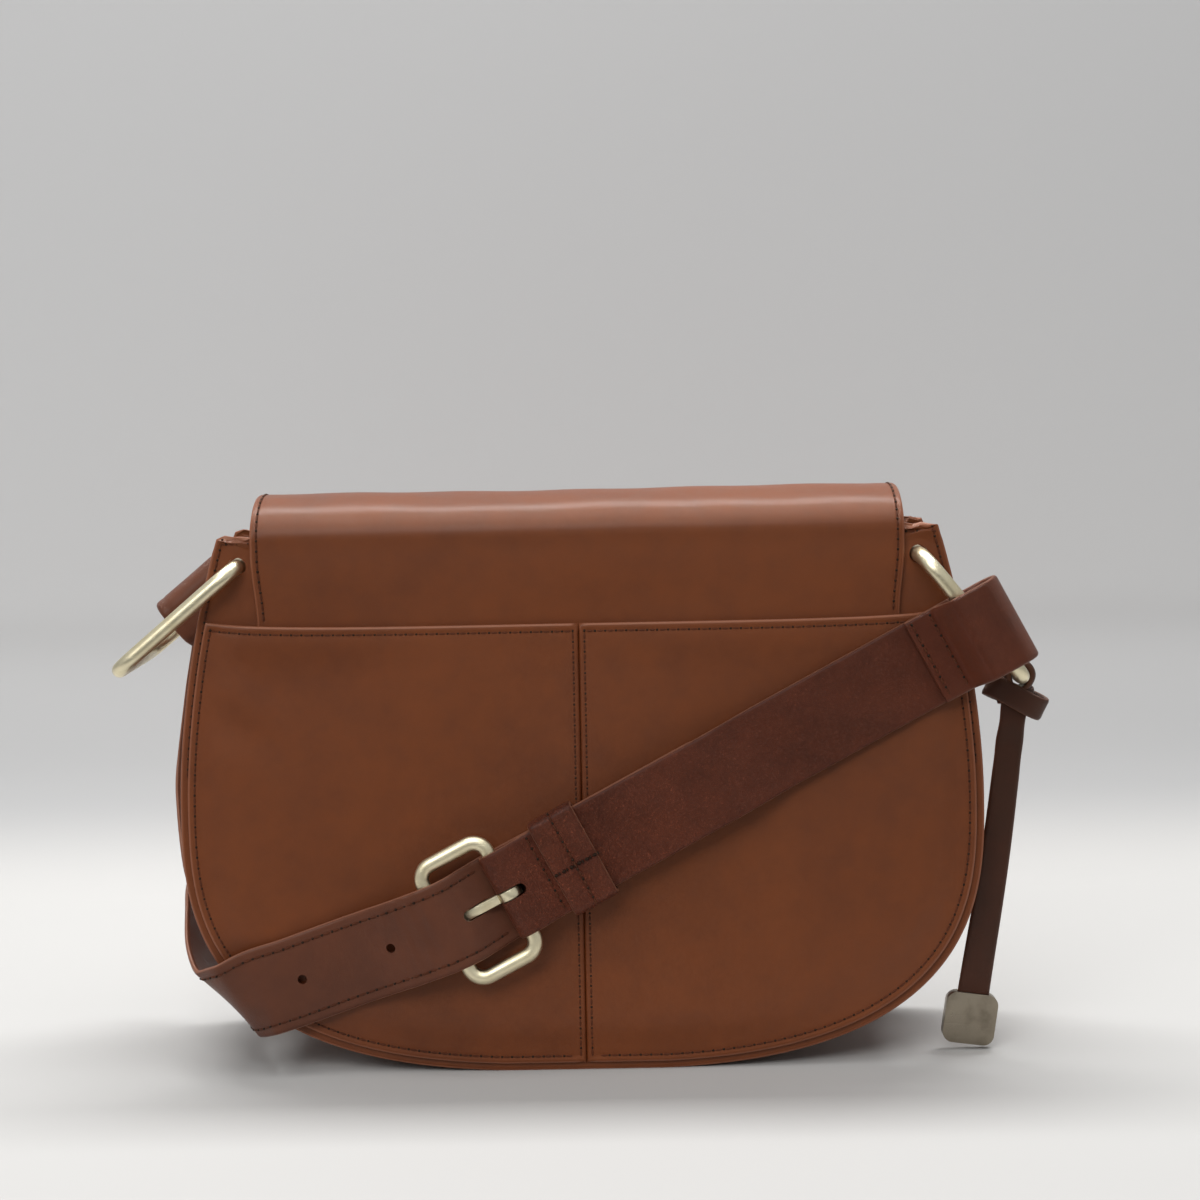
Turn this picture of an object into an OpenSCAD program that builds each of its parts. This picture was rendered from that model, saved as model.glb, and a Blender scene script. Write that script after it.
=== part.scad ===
// Leather saddle bag with a flap, a back slip pocket and a buckled shoulder strap.
// The back of the bag faces -Y, the flap's front faces +Y, and the bag stands on Z = 0.
// The origin is midway between the feet of the back and front panels.

/* [Body] */
// Half of the greatest width of the panels
half_w = 145; // [130:1:160]
// Height of the panels' top edge
body_top = 194; // [180:1:210]
// Height at which the panels are widest
widest_z = 97; // [85:1:110]
// How much each side draws in from the widest height to the top
side_draw = 15; // [6:0.1:20]
// Roundness of the lower outline, 2 for an ellipse
lower_power = 2.8; // [2.2:0.05:3.2]
// Height that the flat foot cuts from the lower outline
foot_trim = 0.4; // [0.2:0.1:1]
// Half of the depth over the panels at the foot
base_half = 38; // [30:1:50]
// Half of the depth over the panels at their top edge
top_half = 21; // [18:1:28]
// Thickness of the leather panels
panel_t = 2; // [1.4:0.1:3]
// Gap between plies that lie on each other
ply_gap = 0.1; // [0.05:0.05:0.15]

/* [Gusset] */
// Thickness of the gusset's leather
gusset_t = 1.6; // [1.2:0.1:2]
// Width of the turned-out seam from the panel's edge to the gusset
seam_w = 4.5; // [3.5:0.1:6]
// Thickness of the gusset's sewn flange
flange_t = 1.2; // [0.8:0.1:1.6]
// Height at which the gusset ends under the rings
gusset_top = 176; // [165:1:177]
// Half of the width of the gusset's base strip
base_strip_half = 62; // [50:1:70]
// Width of the butt joint between gusset strips
strip_gap = 0.2; // [0.1:0.1:0.4]

/* [Back pocket] */
// Height of the pocket's hem at the centre seam
hem_z = 161; // [150:1:166]
// Rise of the hem towards the sides
hem_rise = 4; // [0:0.5:6]
// Distance of the pocket's edge inside the panel's edge
pocket_inset = 3; // [2:0.1:4]
// Thickness of the pocket's leather
pocket_t = 1.6; // [1.2:0.1:2]
// Depth of the slot behind the pocket
pocket_slot = 2; // [1.8:0.1:3]
// Width of the pocket's sewn border
pocket_rim = 6; // [4:0.5:9]
// Width of the open line between the two halves at the centre seam
seam_gap = 0.3; // [0.2:0.1:0.6]
// Width of each half's turned allowance at the centre seam
seam_turn = 5; // [3:0.5:7]

/* [Flap] */
// Distance of the flap's sides inside the panels' greatest width
flap_inset = 27.5; // [25:0.5:40]
// Highest point of the flap's crest
crest_z = 208; // [203:1:216]
// Height of the line on which the flap turns
hinge_z = 190; // [188:0.5:192]
// Lowest point of the flap's front
flap_low = 62; // [50:1:80]
// Height at which the flap's front begins to round
flap_round_z = 132; // [120:1:150]
// Thickness of the flap's outer leather
flap_t = 1.6; // [1.2:0.1:2]
// Thickness of the flap's lining
flap_lining_t = 0.8; // [0.6:0.1:1]
// Free depth between the front panel and the flap's lining
flap_rest = 3.4; // [3:0.1:5]
// Height of the lower end of the tail inside the back pocket
tail_low = 118; // [100:1:130]
// Length left free under the turning line
tail_relief = 4; // [3.5:0.1:6]
// Height of the magnetic snap's centre
snap_z = 84; // [78:1:95]
// Radius of the snap's discs
snap_r = 9; // [7:0.5:10]

/* [Lining] */
// Thickness of the lining cloth
lining_t = 0.8; // [0.5:0.1:1]
// Distance of the lining inside the panel's edge
lining_inset = 8.4; // [8.4:0.1:10]
// Height at which the lining meets the leather facings
lining_top = 158; // [150:1:162]
// Half of the width of the leather facings
facing_half = 114; // [100:1:116]
// Thickness of the stiffening board over the base
board_t = 1.4; // [1:0.1:1.6]
// Half of the board's length
board_half = 72; // [50:1:80]
// Half of the board's width
board_half_depth = 29; // [20:1:31]

/* [Rings] */
// Distance of the ring holes outside the flap's sides
hole_gap = 5.4; // [4.5:0.1:7]
// Height of the ring holes
hole_z = 183.3; // [181:0.1:186]
// Radius of the ring holes
hole_r = 3.4; // [3.2:0.1:4]
// Radius of the ring wire
wire_r = 2.8; // [2.4:0.1:3]
// Length of the rings between the wire's centre lines
ring_l = 57; // [50:1:60]
// Radius of the rings' corners on the wire's centre line
ring_corner = 8.5; // [6:0.5:10]
// Angle at which the left ring hangs below the horizontal
ring_left_fall = 40; // [30:1:50]
// Angle at which the right ring hangs below the horizontal
ring_right_fall = 51; // [45:1:60]

/* [Strap] */
// Width of the strap
strap_w = 32; // [28:1:35]
// Thickness of the strap
strap_t = 2.2; // [2:0.1:2.6]
// Angle at which the strap rises across the back
strap_rise = 27.8; // [25:0.1:30]
// Place of the buckle's heel bar from the middle
heel_x = -26; // [-35:1:-15]
// Height of the buckle's heel bar
heel_z = 66.2; // [60:0.1:72]
// Clear distance between the strap and what it lies on
lie_gap = 0.3; // [0.2:0.1:0.5]
// Gap between strap plies
strap_gap = 0.15; // [0.1:0.05:0.2]
// Length of the punched end past the heel bar
tip_l = 82; // [78:1:90]
// Distance between the punched holes
hole_pitch = 34; // [30:1:38]
// Radius of the punched holes
punch_r = 1.7; // [1.2:0.1:2.2]
// Length of the turned tab at the buckle
tab_l = 30; // [26:1:34]

/* [Buckle] */
// Radius of the buckle's wire
buckle_r = 2.2; // [1.8:0.1:2.6]
// Length of the buckle between its two cross bars
buckle_l = 26; // [24:1:30]
// Width of the buckle on the wire's centre line
buckle_w = 44; // [40:1:46]
// Radius of the buckle's corners on the wire's centre line
buckle_corner = 5; // [4:0.5:5]
// Width of the prong
prong_w = 3.6; // [3:0.1:4]
// Thickness of the prong
prong_t = 2.2; // [1.8:0.1:2.4]
// Running clearance of the prong's eye on the heel bar
prong_fit = 0.06; // [0.04:0.01:0.08]

/* [Keeper] */
// Length of the keeper along the strap
keeper_l = 17; // [14:1:20]
// Thickness of the keeper's leather
keeper_t = 1.8; // [1.4:0.1:2]
// Distance of the keeper from the heel bar
keeper_u = 17; // [16.5:0.5:20]
// Clear distance inside the keeper at the strap's edges
keeper_side = 0.8; // [0.5:0.1:1.2]

/* [Tag] */
// Width of the tag's thong at its top
thong_top_w = 9; // [8:0.5:10]
// Width of the tag's thong at its foot
thong_foot_w = 11.5; // [10:0.5:13]
// Thickness of the thong
thong_t = 2; // [1.6:0.1:2.4]
// Length of the thong below the ring
thong_l = 128; // [105:1:129]
// Lean of the thong from the vertical
thong_lean = 8; // [0:0.5:12]
// Width of the metal fob
fob_w = 19; // [16:1:22]
// Height of the metal fob
fob_h = 19; // [16:1:22]
// Thickness of the metal fob
fob_t = 4.2; // [4:0.1:5]

/* [Hidden] */
$fn = 48;

over = 1;                     // overrun of every cut
lower_steps = 22;             // points on each quarter of the lower outline
upper_steps = 7;              // points on each side above the widest height
side_power = 1.8;             // how the sides' draw grows towards the top
hem_power = 6;                // how the hem's rise grows towards the sides
flap_power = 2.5;             // roundness of the flap's lower outline
flap_half = half_w - flap_inset;
hole_x = flap_half + hole_gap;
lean = (base_half - top_half) / body_top;
reach = 2 * half_w;           // longer than anything that is cut
leather = [0.45, 0.24, 0.13];
strap_leather = [0.33, 0.16, 0.11];
cloth = [0.55, 0.45, 0.33];
brass = [0.80, 0.75, 0.56];
nickel = [0.62, 0.60, 0.55];

// Distance of a panel's outer face from the middle plane at a height
function face_y(z) = base_half - lean * z;
// Smooth step from 0 to 1
function ease(t) = let(c = min(1, max(0, t))) (1 - cos(180 * c)) / 2;
function mix(a, b, t) = a + (b - a) * t;

// Right half of the body's outline at a distance inside the panel's edge, foot to top
function half_outline(inset, top) = concat(
    [[0, inset]],
    [for (i = [1 : lower_steps])
        let(a = 90 * i / lower_steps)
        [(half_w - inset) * pow(sin(a), 2 / lower_power),
         max(inset, inset + (widest_z - inset) * (1 - pow(cos(a), 2 / lower_power)) - foot_trim)]],
    [for (i = [1 : upper_steps])
        let(z = mix(widest_z, top, i / upper_steps))
        [half_w - inset - side_draw * pow((z - widest_z) / (body_top - widest_z), side_power), z]]);

module body_outline(inset, top) {
    right = half_outline(inset, top);
    left = [for (i = [len(right) - 1 : -1 : 1]) [-right[i][0], right[i][1]]];
    polygon(concat(right, left));
}

// The outline as a solid that runs through the bag from back to front
module outline_solid(inset, top) {
    rotate([90, 0, 0])
        linear_extrude(height = reach, center = true)
            body_outline(inset, top);
}

// A profile in Y and Z that runs through the bag from side to side
module cross_solid(width) {
    rotate([90, 0, 90])
        linear_extrude(height = width, center = true)
            children();
}

// The slab between two distances outside the back panel's outer face
module back_slab(near, far) {
    cross_solid(reach)
        polygon([[-face_y(-over) - near, -over], [-face_y(-over) - far, -over],
            [-face_y(crest_z) - far, crest_z], [-face_y(crest_z) - near, crest_z]]);
}

// The wedge between the panels, a distance inside their outer faces
module inner_wedge(inside) {
    cross_solid(reach)
        polygon([[-face_y(-over) + inside, -over], [face_y(-over) - inside, -over],
            [face_y(crest_z) - inside, crest_z], [-face_y(crest_z) + inside, crest_z]]);
}

module x_range(low, high) {
    translate([low, -reach / 2, -over])
        cube([high - low, reach, reach]);
}

module z_range(low, high) {
    translate([-reach / 2, -reach / 2, low])
        cube([reach, reach, high - low]);
}

module ring_holes() {
    for (side = [-1, 1])
        translate([side * hole_x, 0, hole_z])
            rotate([90, 0, 0])
                cylinder(r = hole_r, h = reach, center = true);
}

module panel() {
    difference() {
        intersection() {
            outline_solid(0, body_top);
            back_slab(-panel_t, 0);
        }
        ring_holes();
    }
}

module back_panel() {
    color(leather) panel();
}

module front_panel() {
    color(leather) mirror([0, 1, 0]) panel();
}

// Gusset: a band round the sides and the foot with flanges sewn to both panels
band_in = panel_t + ply_gap;

module gusset_band() {
    intersection() {
        difference() {
            outline_solid(seam_w, gusset_top);
            outline_solid(seam_w + gusset_t, gusset_top + over);
        }
        inner_wedge(band_in);
    }
    intersection() {
        difference() {
            outline_solid(ply_gap, gusset_top);
            outline_solid(seam_w + gusset_t / 2, gusset_top + over);
        }
        difference() {
            inner_wedge(band_in);
            inner_wedge(band_in + flange_t);
        }
    }
}

module gusset_left() {
    color(leather)
        intersection() {
            gusset_band();
            x_range(-reach / 2, -base_strip_half - strip_gap / 2);
        }
}

module gusset_base() {
    color(leather)
        intersection() {
            gusset_band();
            x_range(-base_strip_half + strip_gap / 2, base_strip_half - strip_gap / 2);
        }
}

module gusset_right() {
    color(leather)
        intersection() {
            gusset_band();
            x_range(base_strip_half + strip_gap / 2, reach / 2);
        }
}

// Back slip pocket in two halves that meet at the centre seam
pocket_n = pocket_slot + pocket_t;   // outer face of the pocket outside the back panel
hem_steps = 12;

module hem_profile() {
    hem = [for (i = [0 : hem_steps])
        let(x = mix(0, half_w, i / hem_steps))
        [x, hem_z + hem_rise * pow(x / half_w, hem_power)]];
    rotate([90, 0, 0])
        linear_extrude(height = reach, center = true)
            polygon(concat([[seam_gap / 2, -over], [seam_gap / 2, hem_z]],
                [for (i = [1 : hem_steps]) hem[i]], [[half_w, -over]]));
}

module pocket_half() {
    intersection() {
        hem_profile();
        union() {
            intersection() {
                outline_solid(pocket_inset, body_top);
                back_slab(pocket_slot, pocket_n);
            }
            intersection() {
                difference() {
                    outline_solid(pocket_inset, body_top);
                    outline_solid(pocket_inset + pocket_rim, body_top + over);
                }
                back_slab(ply_gap, pocket_slot + ply_gap);
            }
            intersection() {
                x_range(0, seam_turn);
                z_range(0, tail_low - seam_turn);
                outline_solid(pocket_inset + over, body_top);
                back_slab(pocket_slot - flange_t, pocket_slot + ply_gap);
            }
        }
    }
}

module pocket_right() {
    color(leather) pocket_half();
}

module pocket_left() {
    color(leather) mirror([1, 0, 0]) pocket_half();
}

// Leather facings inside the mouth, with the cloth lining below them
facing_in = panel_t + ply_gap;

module facing() {
    intersection() {
        back_slab(-facing_in - flange_t, -facing_in);
        x_range(-facing_half, facing_half);
        z_range(lining_top, body_top - ply_gap);
    }
}

module facing_back() {
    color(leather) facing();
}

module facing_front() {
    color(leather) mirror([0, 1, 0]) facing();
}

lining_in = panel_t + flange_t + 2 * ply_gap;

module lining() {
    color(cloth)
        difference() {
            intersection() {
                outline_solid(lining_inset, lining_top - ply_gap);
                inner_wedge(lining_in);
            }
            intersection() {
                outline_solid(lining_inset + lining_t, lining_top + over);
                inner_wedge(lining_in + lining_t);
            }
        }
}

inner_pocket_half = 70;     // half of the inner pocket's width
inner_pocket_low = 52;      // foot of the inner pocket
inner_pocket_top = 142;     // mouth of the inner pocket

module inner_pocket() {
    color(cloth)
        intersection() {
            back_slab(-lining_in - 2 * lining_t - ply_gap, -lining_in - lining_t - ply_gap);
            x_range(-inner_pocket_half, inner_pocket_half);
            z_range(inner_pocket_low, inner_pocket_top);
        }
}

module base_board() {
    board_in = seam_w + gusset_t + ply_gap;
    color(cloth)
        intersection() {
            difference() {
                outline_solid(board_in, body_top);
                outline_solid(board_in + board_t, body_top + over);
            }
            x_range(-board_half, board_half);
            z_range(0, widest_z / 2);
            translate([0, 0, widest_z / 2])
                cube([reach, 2 * board_half_depth, reach], center = true);
        }
}

// A strip of constant thickness along a path of 2D points, as one outline
function unit2(v) = v / norm(v);
function path_normal(p, i) =
    let(a = p[max(0, i - 1)], b = p[min(len(p) - 1, i + 1)], d = unit2(b - a))
    [-d[1], d[0]];
function strip_outline(p, t) = concat(
    [for (i = [0 : len(p) - 1]) p[i] + path_normal(p, i) * t / 2],
    [for (i = [len(p) - 1 : -1 : 0]) p[i] - path_normal(p, i) * t / 2]);

// Flap: its tail lies in the back pocket, and it turns on a line along the back panel's top
hinge_n = 1.6;                              // turning line outside the back panel
hinge_y = -face_y(hinge_z) - hinge_n;
crest_foot_z = hinge_z + 2;                 // where the crest's curve begins and ends
leaf_n = flap_rest + flap_lining_t + ply_gap + flap_t / 2;
crest_front = face_y(crest_foot_z) + leaf_n;
crest_mid = (crest_front + hinge_y) / 2;
crest_a = (crest_front - hinge_y) / 2;
crest_b = crest_z - flap_t / 2 - crest_foot_z;
crest_steps = 24;
lining_start = 25;                          // angle of the crest at which the flap's lining begins

function crest_point(a) = [crest_mid - crest_a * cos(a), crest_foot_z + crest_b * sin(a)];
function leaf_point(z) = [face_y(z) + leaf_n, z];

module flap_outline() {
    lower = [for (i = [0 : lower_steps])
        let(a = 90 * i / lower_steps)
        [flap_half * pow(sin(a), 2 / flap_power),
         flap_round_z - (flap_round_z - flap_low) * pow(cos(a), 2 / flap_power)]];
    polygon(concat(lower, [[flap_half, crest_z + over], [-flap_half, crest_z + over]],
        [for (i = [lower_steps : -1 : 1]) [-lower[i][0], lower[i][1]]]));
}

module flap_ply(path, t) {
    intersection() {
        cross_solid(2 * flap_half + over)
            polygon(strip_outline(path, t));
        rotate([90, 0, 0])
            linear_extrude(height = reach, center = true)
                flap_outline();
    }
}

module flap_tail() {
    color(leather)
        intersection() {
            back_slab(ply_gap, ply_gap + flap_t);
            x_range(-flap_half + seam_turn, flap_half - seam_turn);
            z_range(tail_low, hinge_z - tail_relief);
        }
}

module flap() {
    path = concat([[hinge_y, hinge_z]],
        [for (i = [0 : crest_steps]) crest_point(180 * i / crest_steps)],
        [leaf_point(flap_round_z), leaf_point(flap_low - over)]);
    color(leather) flap_ply(path, flap_t);
}

module flap_lining() {
    inside = flap_t / 2 + ply_gap + flap_lining_t / 2;
    path = concat(
        [for (i = [0 : crest_steps])
            let(a = mix(lining_start, 180, i / crest_steps))
            [crest_mid - (crest_a - inside) * cos(a),
             crest_foot_z + (crest_b - inside) * sin(a)]],
        [leaf_point(flap_round_z) - [inside, 0], leaf_point(flap_low - over) - [inside, 0]]);
    color(cloth) flap_ply(path, flap_lining_t);
}

// Magnetic snap between the front panel and the flap
snap_gap = 0.2;                             // clear distance between the snap's halves
female_t = 1.7;                             // thickness of the half on the panel
stud_r = 2.6;                               // radius of the male half's stud
stud_clear = 1.4;                           // room round the stud for the flap's swing
washer_t = 0.7;                             // thickness of the backing washer

module on_front(z, n) {
    translate([0, face_y(z) + n, z])
        rotate([-90 + atan(lean), 0, 0])
            children();
}

module snap_female() {
    color(brass)
        on_front(snap_z, ply_gap)
            difference() {
                cylinder(r = snap_r, h = female_t);
                translate([0, 0, female_t / 3])
                    cylinder(r = stud_r + stud_clear, h = female_t);
            }
}

module snap_male() {
    male_n = ply_gap + female_t + snap_gap;
    color(brass)
        on_front(snap_z, male_n) {
            cylinder(r = snap_r, h = flap_rest - male_n - ply_gap);
            translate([0, 0, -female_t / 2])
                cylinder(r = stud_r, h = female_t);
        }
}

module snap_washer() {
    color(nickel)
        on_front(snap_z, -panel_t - ply_gap - washer_t)
            difference() {
                cylinder(r = snap_r, h = washer_t);
                translate([0, 0, -over])
                    cylinder(r = stud_r, h = washer_t + 2 * over);
            }
}

// A closed wire in the XY plane: X from 0 to the length, Y centred
module wire_loop(length, width, corner, r) {
    for (x = [0, length])
        translate([x, 0, 0])
            rotate([90, 0, 0])
                cylinder(r = r, h = width - 2 * corner, center = true);
    for (side = [-1, 1])
        translate([length / 2, side * width / 2, 0])
            rotate([0, 90, 0])
                cylinder(r = r, h = length - 2 * corner, center = true);
    for (turn = [0, 90, 180, 270])
        translate([turn == 0 || turn == 270 ? length - corner : corner,
                (turn < 180 ? 1 : -1) * (width / 2 - corner), 0])
            rotate([0, 0, turn])
                rotate_extrude(angle = 90)
                    translate([corner, 0])
                        circle(r = r);
}

// Strap frame: X along the strap up to the right, Y across it upwards, Z outwards from the
// pocket's face, with the buckle's heel bar over its origin
lean_angle = atan(lean);
module strap_frame() {
    translate([heel_x, -face_y(heel_z) - pocket_n, heel_z])
        rotate([90 - lean_angle, 0, 0])
            rotate([0, 0, strap_rise])
                children();
}

// Heights of the strap's plies over the pocket's face, on their centre lines
lie_n = lie_gap + strap_t / 2;
tip_n_heel = lie_n + lie_gap;
ply_step = strap_t + strap_gap;
keeper_floor = lie_gap + keeper_t;
tip_n_keeper = keeper_floor + strap_gap + strap_t / 2;
main_n_heel = tip_n_heel + ply_step;
main_n_keeper = tip_n_keeper + ply_step;
heel_n = main_n_heel + strap_t / 2 + strap_gap + buckle_r;
tab_n_heel = heel_n + buckle_r + strap_gap + strap_t / 2;
tab_n_keeper = main_n_keeper + ply_step;
far_bar_n = heel_n - lie_gap - strap_t / 3;
over_bar_n = far_bar_n + buckle_r + 3 * strap_gap + strap_t / 2;
fold_r = buckle_r + strap_gap + strap_t / 2;

// Loops that hold the rings: the wire's centre stands off the ply that it lies on
loop_gap = 2.1;                              // clear distance inside a loop, across its wire
loop_r = wire_r + loop_gap + strap_t / 2;
loop_slack = 5.4;                            // run of the loop past the wire
tail_l = 10;                                 // length of the right loop's sewn tail
left_tail_l = 2;                             // length of the left loop's sewn tail
tail_fall = 9;                               // length over which the tail comes down
arc_steps = 14;
tail_start = wire_r + loop_gap;             // where the tail begins to come down

// Path of a loop round a wire at the origin, from the end of the main ply to the tail's end
function loop_path(tail) = concat(
    [for (i = [0 : arc_steps])
        let(a = -90 + 180 * i / arc_steps)
        [loop_slack + loop_r * cos(a), loop_r * sin(a)]],
    [for (i = [0 : arc_steps])
        let(t = i / arc_steps)
        [-tail_start - tail_fall * t,
         mix(loop_r, -loop_r + ply_step, ease(t))]],
    [[-tail_start - tail_fall - tail, -loop_r + ply_step]]);

// Right ring: its near bar lies over the strap's main ply
fall_r = [cos(ring_right_fall), -sin(ring_right_fall)];
fall_l = [-cos(ring_left_fall), -sin(ring_left_fall)];
rise = [cos(strap_rise), sin(strap_rise)];
across = [-sin(strap_rise), cos(strap_rise)];
to_hole = [hole_x - heel_x, hole_z - heel_z];
bar_t = (to_hole * across) / -(fall_r * across);
bar_u = to_hole * rise + bar_t * (fall_r * rise);
bar_z = hole_z + fall_r[1] * bar_t;
bar_n = lie_n + loop_r;
near_far_y = face_y(bar_z) + pocket_n + bar_n / cos(lean_angle);
near_close_y = face_y(hole_z) + ring_corner - wire_r / 2;
ring_w = near_far_y + near_close_y;
ring_shift = (near_far_y - near_close_y) / 2;

tip_clear = 2;                               // run of the main ply past the punched end's tip
main_settle = 26;                            // length over which the main ply comes down
heel_hold = 2.4;                             // length over which plies stay level at the heel
heel_settle = 14;                            // length over which plies rise or fall at the heel
path_step = 3;

function main_n(u) = u < tip_l + tip_clear
    ? mix(main_n_heel, main_n_keeper, ease((u - heel_hold) / heel_settle))
    : mix(main_n_keeper, lie_n, ease((u - tip_l - tip_clear) / main_settle));
function tab_n(u) = mix(tab_n_heel, tab_n_keeper, ease((u - heel_hold) / heel_settle));

module strap_buckle_end() {
    fold_n = (tab_n_heel + main_n_heel) / 2;
    fold_half = (tab_n_heel - main_n_heel) / 2;
    main_end = bar_u - wire_r;
    path = concat(
        [for (u = [tab_l : -path_step : path_step / 2]) [u, tab_n(u)]],
        [for (i = [0 : arc_steps])
            let(a = 90 + 180 * i / arc_steps)
            [fold_half * cos(a), fold_n + fold_half * sin(a)]],
        [for (u = [path_step : path_step : tip_l + main_settle + 2 * path_step])
            [u, main_n(u)]],
        [[main_end, lie_n]],
        [for (p = loop_path(tail_l)) [bar_u + p[0], bar_n + p[1]]]);
    slot_w = prong_w + 2 * lie_gap + strap_gap * 2;
    color(strap_leather)
        strap_frame()
            difference() {
                translate([0, strap_w / 2, 0])
                    rotate([90, 0, 0])
                        linear_extrude(height = strap_w)
                            polygon(strip_outline(path, strap_t));
                translate([-fold_r - strap_t, -slot_w / 2, -over])
                    cube([fold_r + strap_t + buckle_r * 2.4, slot_w,
                        tab_n_heel + strap_t + over]);
            }
}

// Punched end: straight over the buckle, then round the bag's foot and up to the left ring
function punched_n(u) =
    u > 0 ? mix(tip_n_heel, tip_n_keeper, ease((u - heel_hold) / heel_settle))
    : u > -buckle_l ? mix(tip_n_heel, over_bar_n, ease((-u - buckle_r) / (buckle_l - buckle_r)))
    : mix(over_bar_n, lie_n, ease((-u - buckle_l) / (buckle_l + heel_settle)));

flat_end = 19;                               // where the straight run ends and the strap bends
bend_rise = 11.3;                            // how far the strap has risen at its bend's end
bend_l = 81;                                 // length of the bend
bend_power = 1.2;
prong_hole_u = -13;                          // hole in use, under the prong
prong_slot = 11;                              // length to which the prong draws its hole

function bend(u) = bend_rise * pow(max(0, -u - flat_end) / bend_l, bend_power);
function bend_slope(u) =
    bend_power * bend_rise / bend_l * pow(max(0, -u - flat_end) / bend_l, bend_power - 1);

module punched_run() {
    path = [for (u = [tip_l : -path_step / 2 : -flat_end - strap_t]) [u, punched_n(u)]];
    translate([0, strap_w / 2, 0])
        rotate([90, 0, 0])
            linear_extrude(height = strap_w)
                polygon(strip_outline(path, strap_t));
}

module punched_holes() {
    for (i = [-1, 1, 2])
        let(u = prong_hole_u - i * hole_pitch)
            translate([u, bend(u), -over])
                cylinder(r = punch_r, h = tab_n_heel, $fn = 24);
    translate([prong_hole_u, 0, -over])
        linear_extrude(height = tab_n_heel) {
            square([prong_slot - prong_w, prong_w + 4 * strap_gap], center = true);
            for (end = [-1, 1])
                translate([end * (prong_slot - prong_w) / 2, 0])
                    circle(r = prong_w / 2 + 2 * strap_gap, $fn = 24);
        }
}

// The wrap's stations: a place on the strap's centre line and the direction across it there
function unit3(v) = v / norm(v);
along_back = [cos(strap_rise), sin(lean_angle) * sin(strap_rise),
    cos(lean_angle) * sin(strap_rise)];
across_back = [-sin(strap_rise), sin(lean_angle) * cos(strap_rise),
    cos(lean_angle) * cos(strap_rise)];
away_back = [0, -cos(lean_angle), sin(lean_angle)];
function strap_station(u) = [
    [heel_x, -face_y(heel_z) - pocket_n, heel_z] + along_back * u + across_back * bend(u)
        + away_back * punched_n(u),
    unit3(across_back + along_back * bend_slope(u))];

// Stations round the panels' edge: angle from the foot, distance outside the edge, depth and
// how far the strap has turned from lying on the back to lying on the gusset
wrap_skew = 30;                              // angle between the strap and the bag's depth
function edge_at(a) = [-half_w * pow(sin(a), 2 / lower_power), 0,
    widest_z * (1 - pow(cos(a), 2 / lower_power))];
function edge_station(a, out, y, turn) =
    let(t = unit3(edge_at(a + 1) - edge_at(a - 1)), g = [-t[2], 0, t[0]],
        w = t * cos(wrap_skew) - (g * cos(turn) + [0, sin(turn), 0]) * sin(wrap_skew))
    [edge_at(a) + g * out + [0, y, 0], w + [0, lean * w[2] * cos(turn), 0]];

wrap_a = 52;                                 // where the strap crosses the back panel's edge
wrap_z = edge_at(wrap_a)[2];
wrap_y = -face_y(wrap_z);
wrap_out = 9;                                // how far the loose wrap stands outside the edge

// Left ring: the strap's loop on its far bar
loop_t = 28;                                 // place of the loop along the bar
loop_turn = 40;                              // lean of the loop to the left, from the vertical
loop_dir = [-sin(loop_turn), 0, cos(loop_turn)];
loop_across = [-cos(loop_turn), 0, -sin(loop_turn)];
loop_mid = [-hole_x + fall_l[0] * loop_t, near_far_y, hole_z + fall_l[1] * loop_t];
loop_main = loop_mid + [0, loop_r, 0];

near_step = 6;                               // distance between stations over the buckle
far_step = 11;                               // distance between stations along the back
wrap_stations = concat(
    [for (i = [0 : 2]) strap_station(-flat_end - near_step * i)],
    [for (i = [1 : 5]) strap_station(-flat_end - 2 * near_step - far_step * i)],
    [edge_station(wrap_a - 1.5, -wrap_out * 0.7, wrap_y - pocket_n - lie_n - 3 * lie_gap, 0),
     edge_station(wrap_a + 1, wrap_out * 0.3, wrap_y - 2 * lie_n, 40),
     edge_station(wrap_a + 3, wrap_out * 0.85, wrap_y * 0.8, 78),
     edge_station(wrap_a + 8, wrap_out, wrap_y * 0.4, 90),
     edge_station(wrap_a + 14, wrap_out, -wrap_y * 0.2, 90),
     edge_station(wrap_a + 20, wrap_out, -wrap_y * 0.75, 90),
     [[-half_w * 1.03, base_half * 1.05, widest_z * 0.84], unit3([-0.5, -0.62, 0.6])],
     [[-half_w * 1.0, base_half * 1.18, widest_z * 1.07], unit3([-0.86, -0.48, 0.12])],
     [[-half_w * 0.965, base_half * 1.14, widest_z * 1.33], unit3([-0.93, -0.22, -0.28])],
     [loop_main - loop_dir * 2.6 * loop_slack, loop_across],
     [loop_main - loop_dir * loop_slack, loop_across],
     [loop_main + loop_dir * (loop_slack + lie_gap), loop_across]]);

spline_steps = 4;
function spline(a, b, c, d, t) =
    (2 * b + (c - a) * t + (2 * a - 5 * b + 4 * c - d) * t * t
        + (3 * b - 3 * c + d - a) * t * t * t) / 2;
function station(i, k) = wrap_stations[min(max(i, 0), len(wrap_stations) - 1)][k];
wrap_count = (len(wrap_stations) - 1) * spline_steps;
function wrap_value(j, k) =
    let(i = min(floor(j / spline_steps), len(wrap_stations) - 2), t = j / spline_steps - i)
    spline(station(i - 1, k), station(i, k), station(i + 1, k), station(i + 2, k), t);
wrap_points = [for (j = [0 : wrap_count]) wrap_value(j, 0)];
function wrap_along(j) = unit3(wrap_points[min(j + 1, wrap_count)] - wrap_points[max(j - 1, 0)]);

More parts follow.
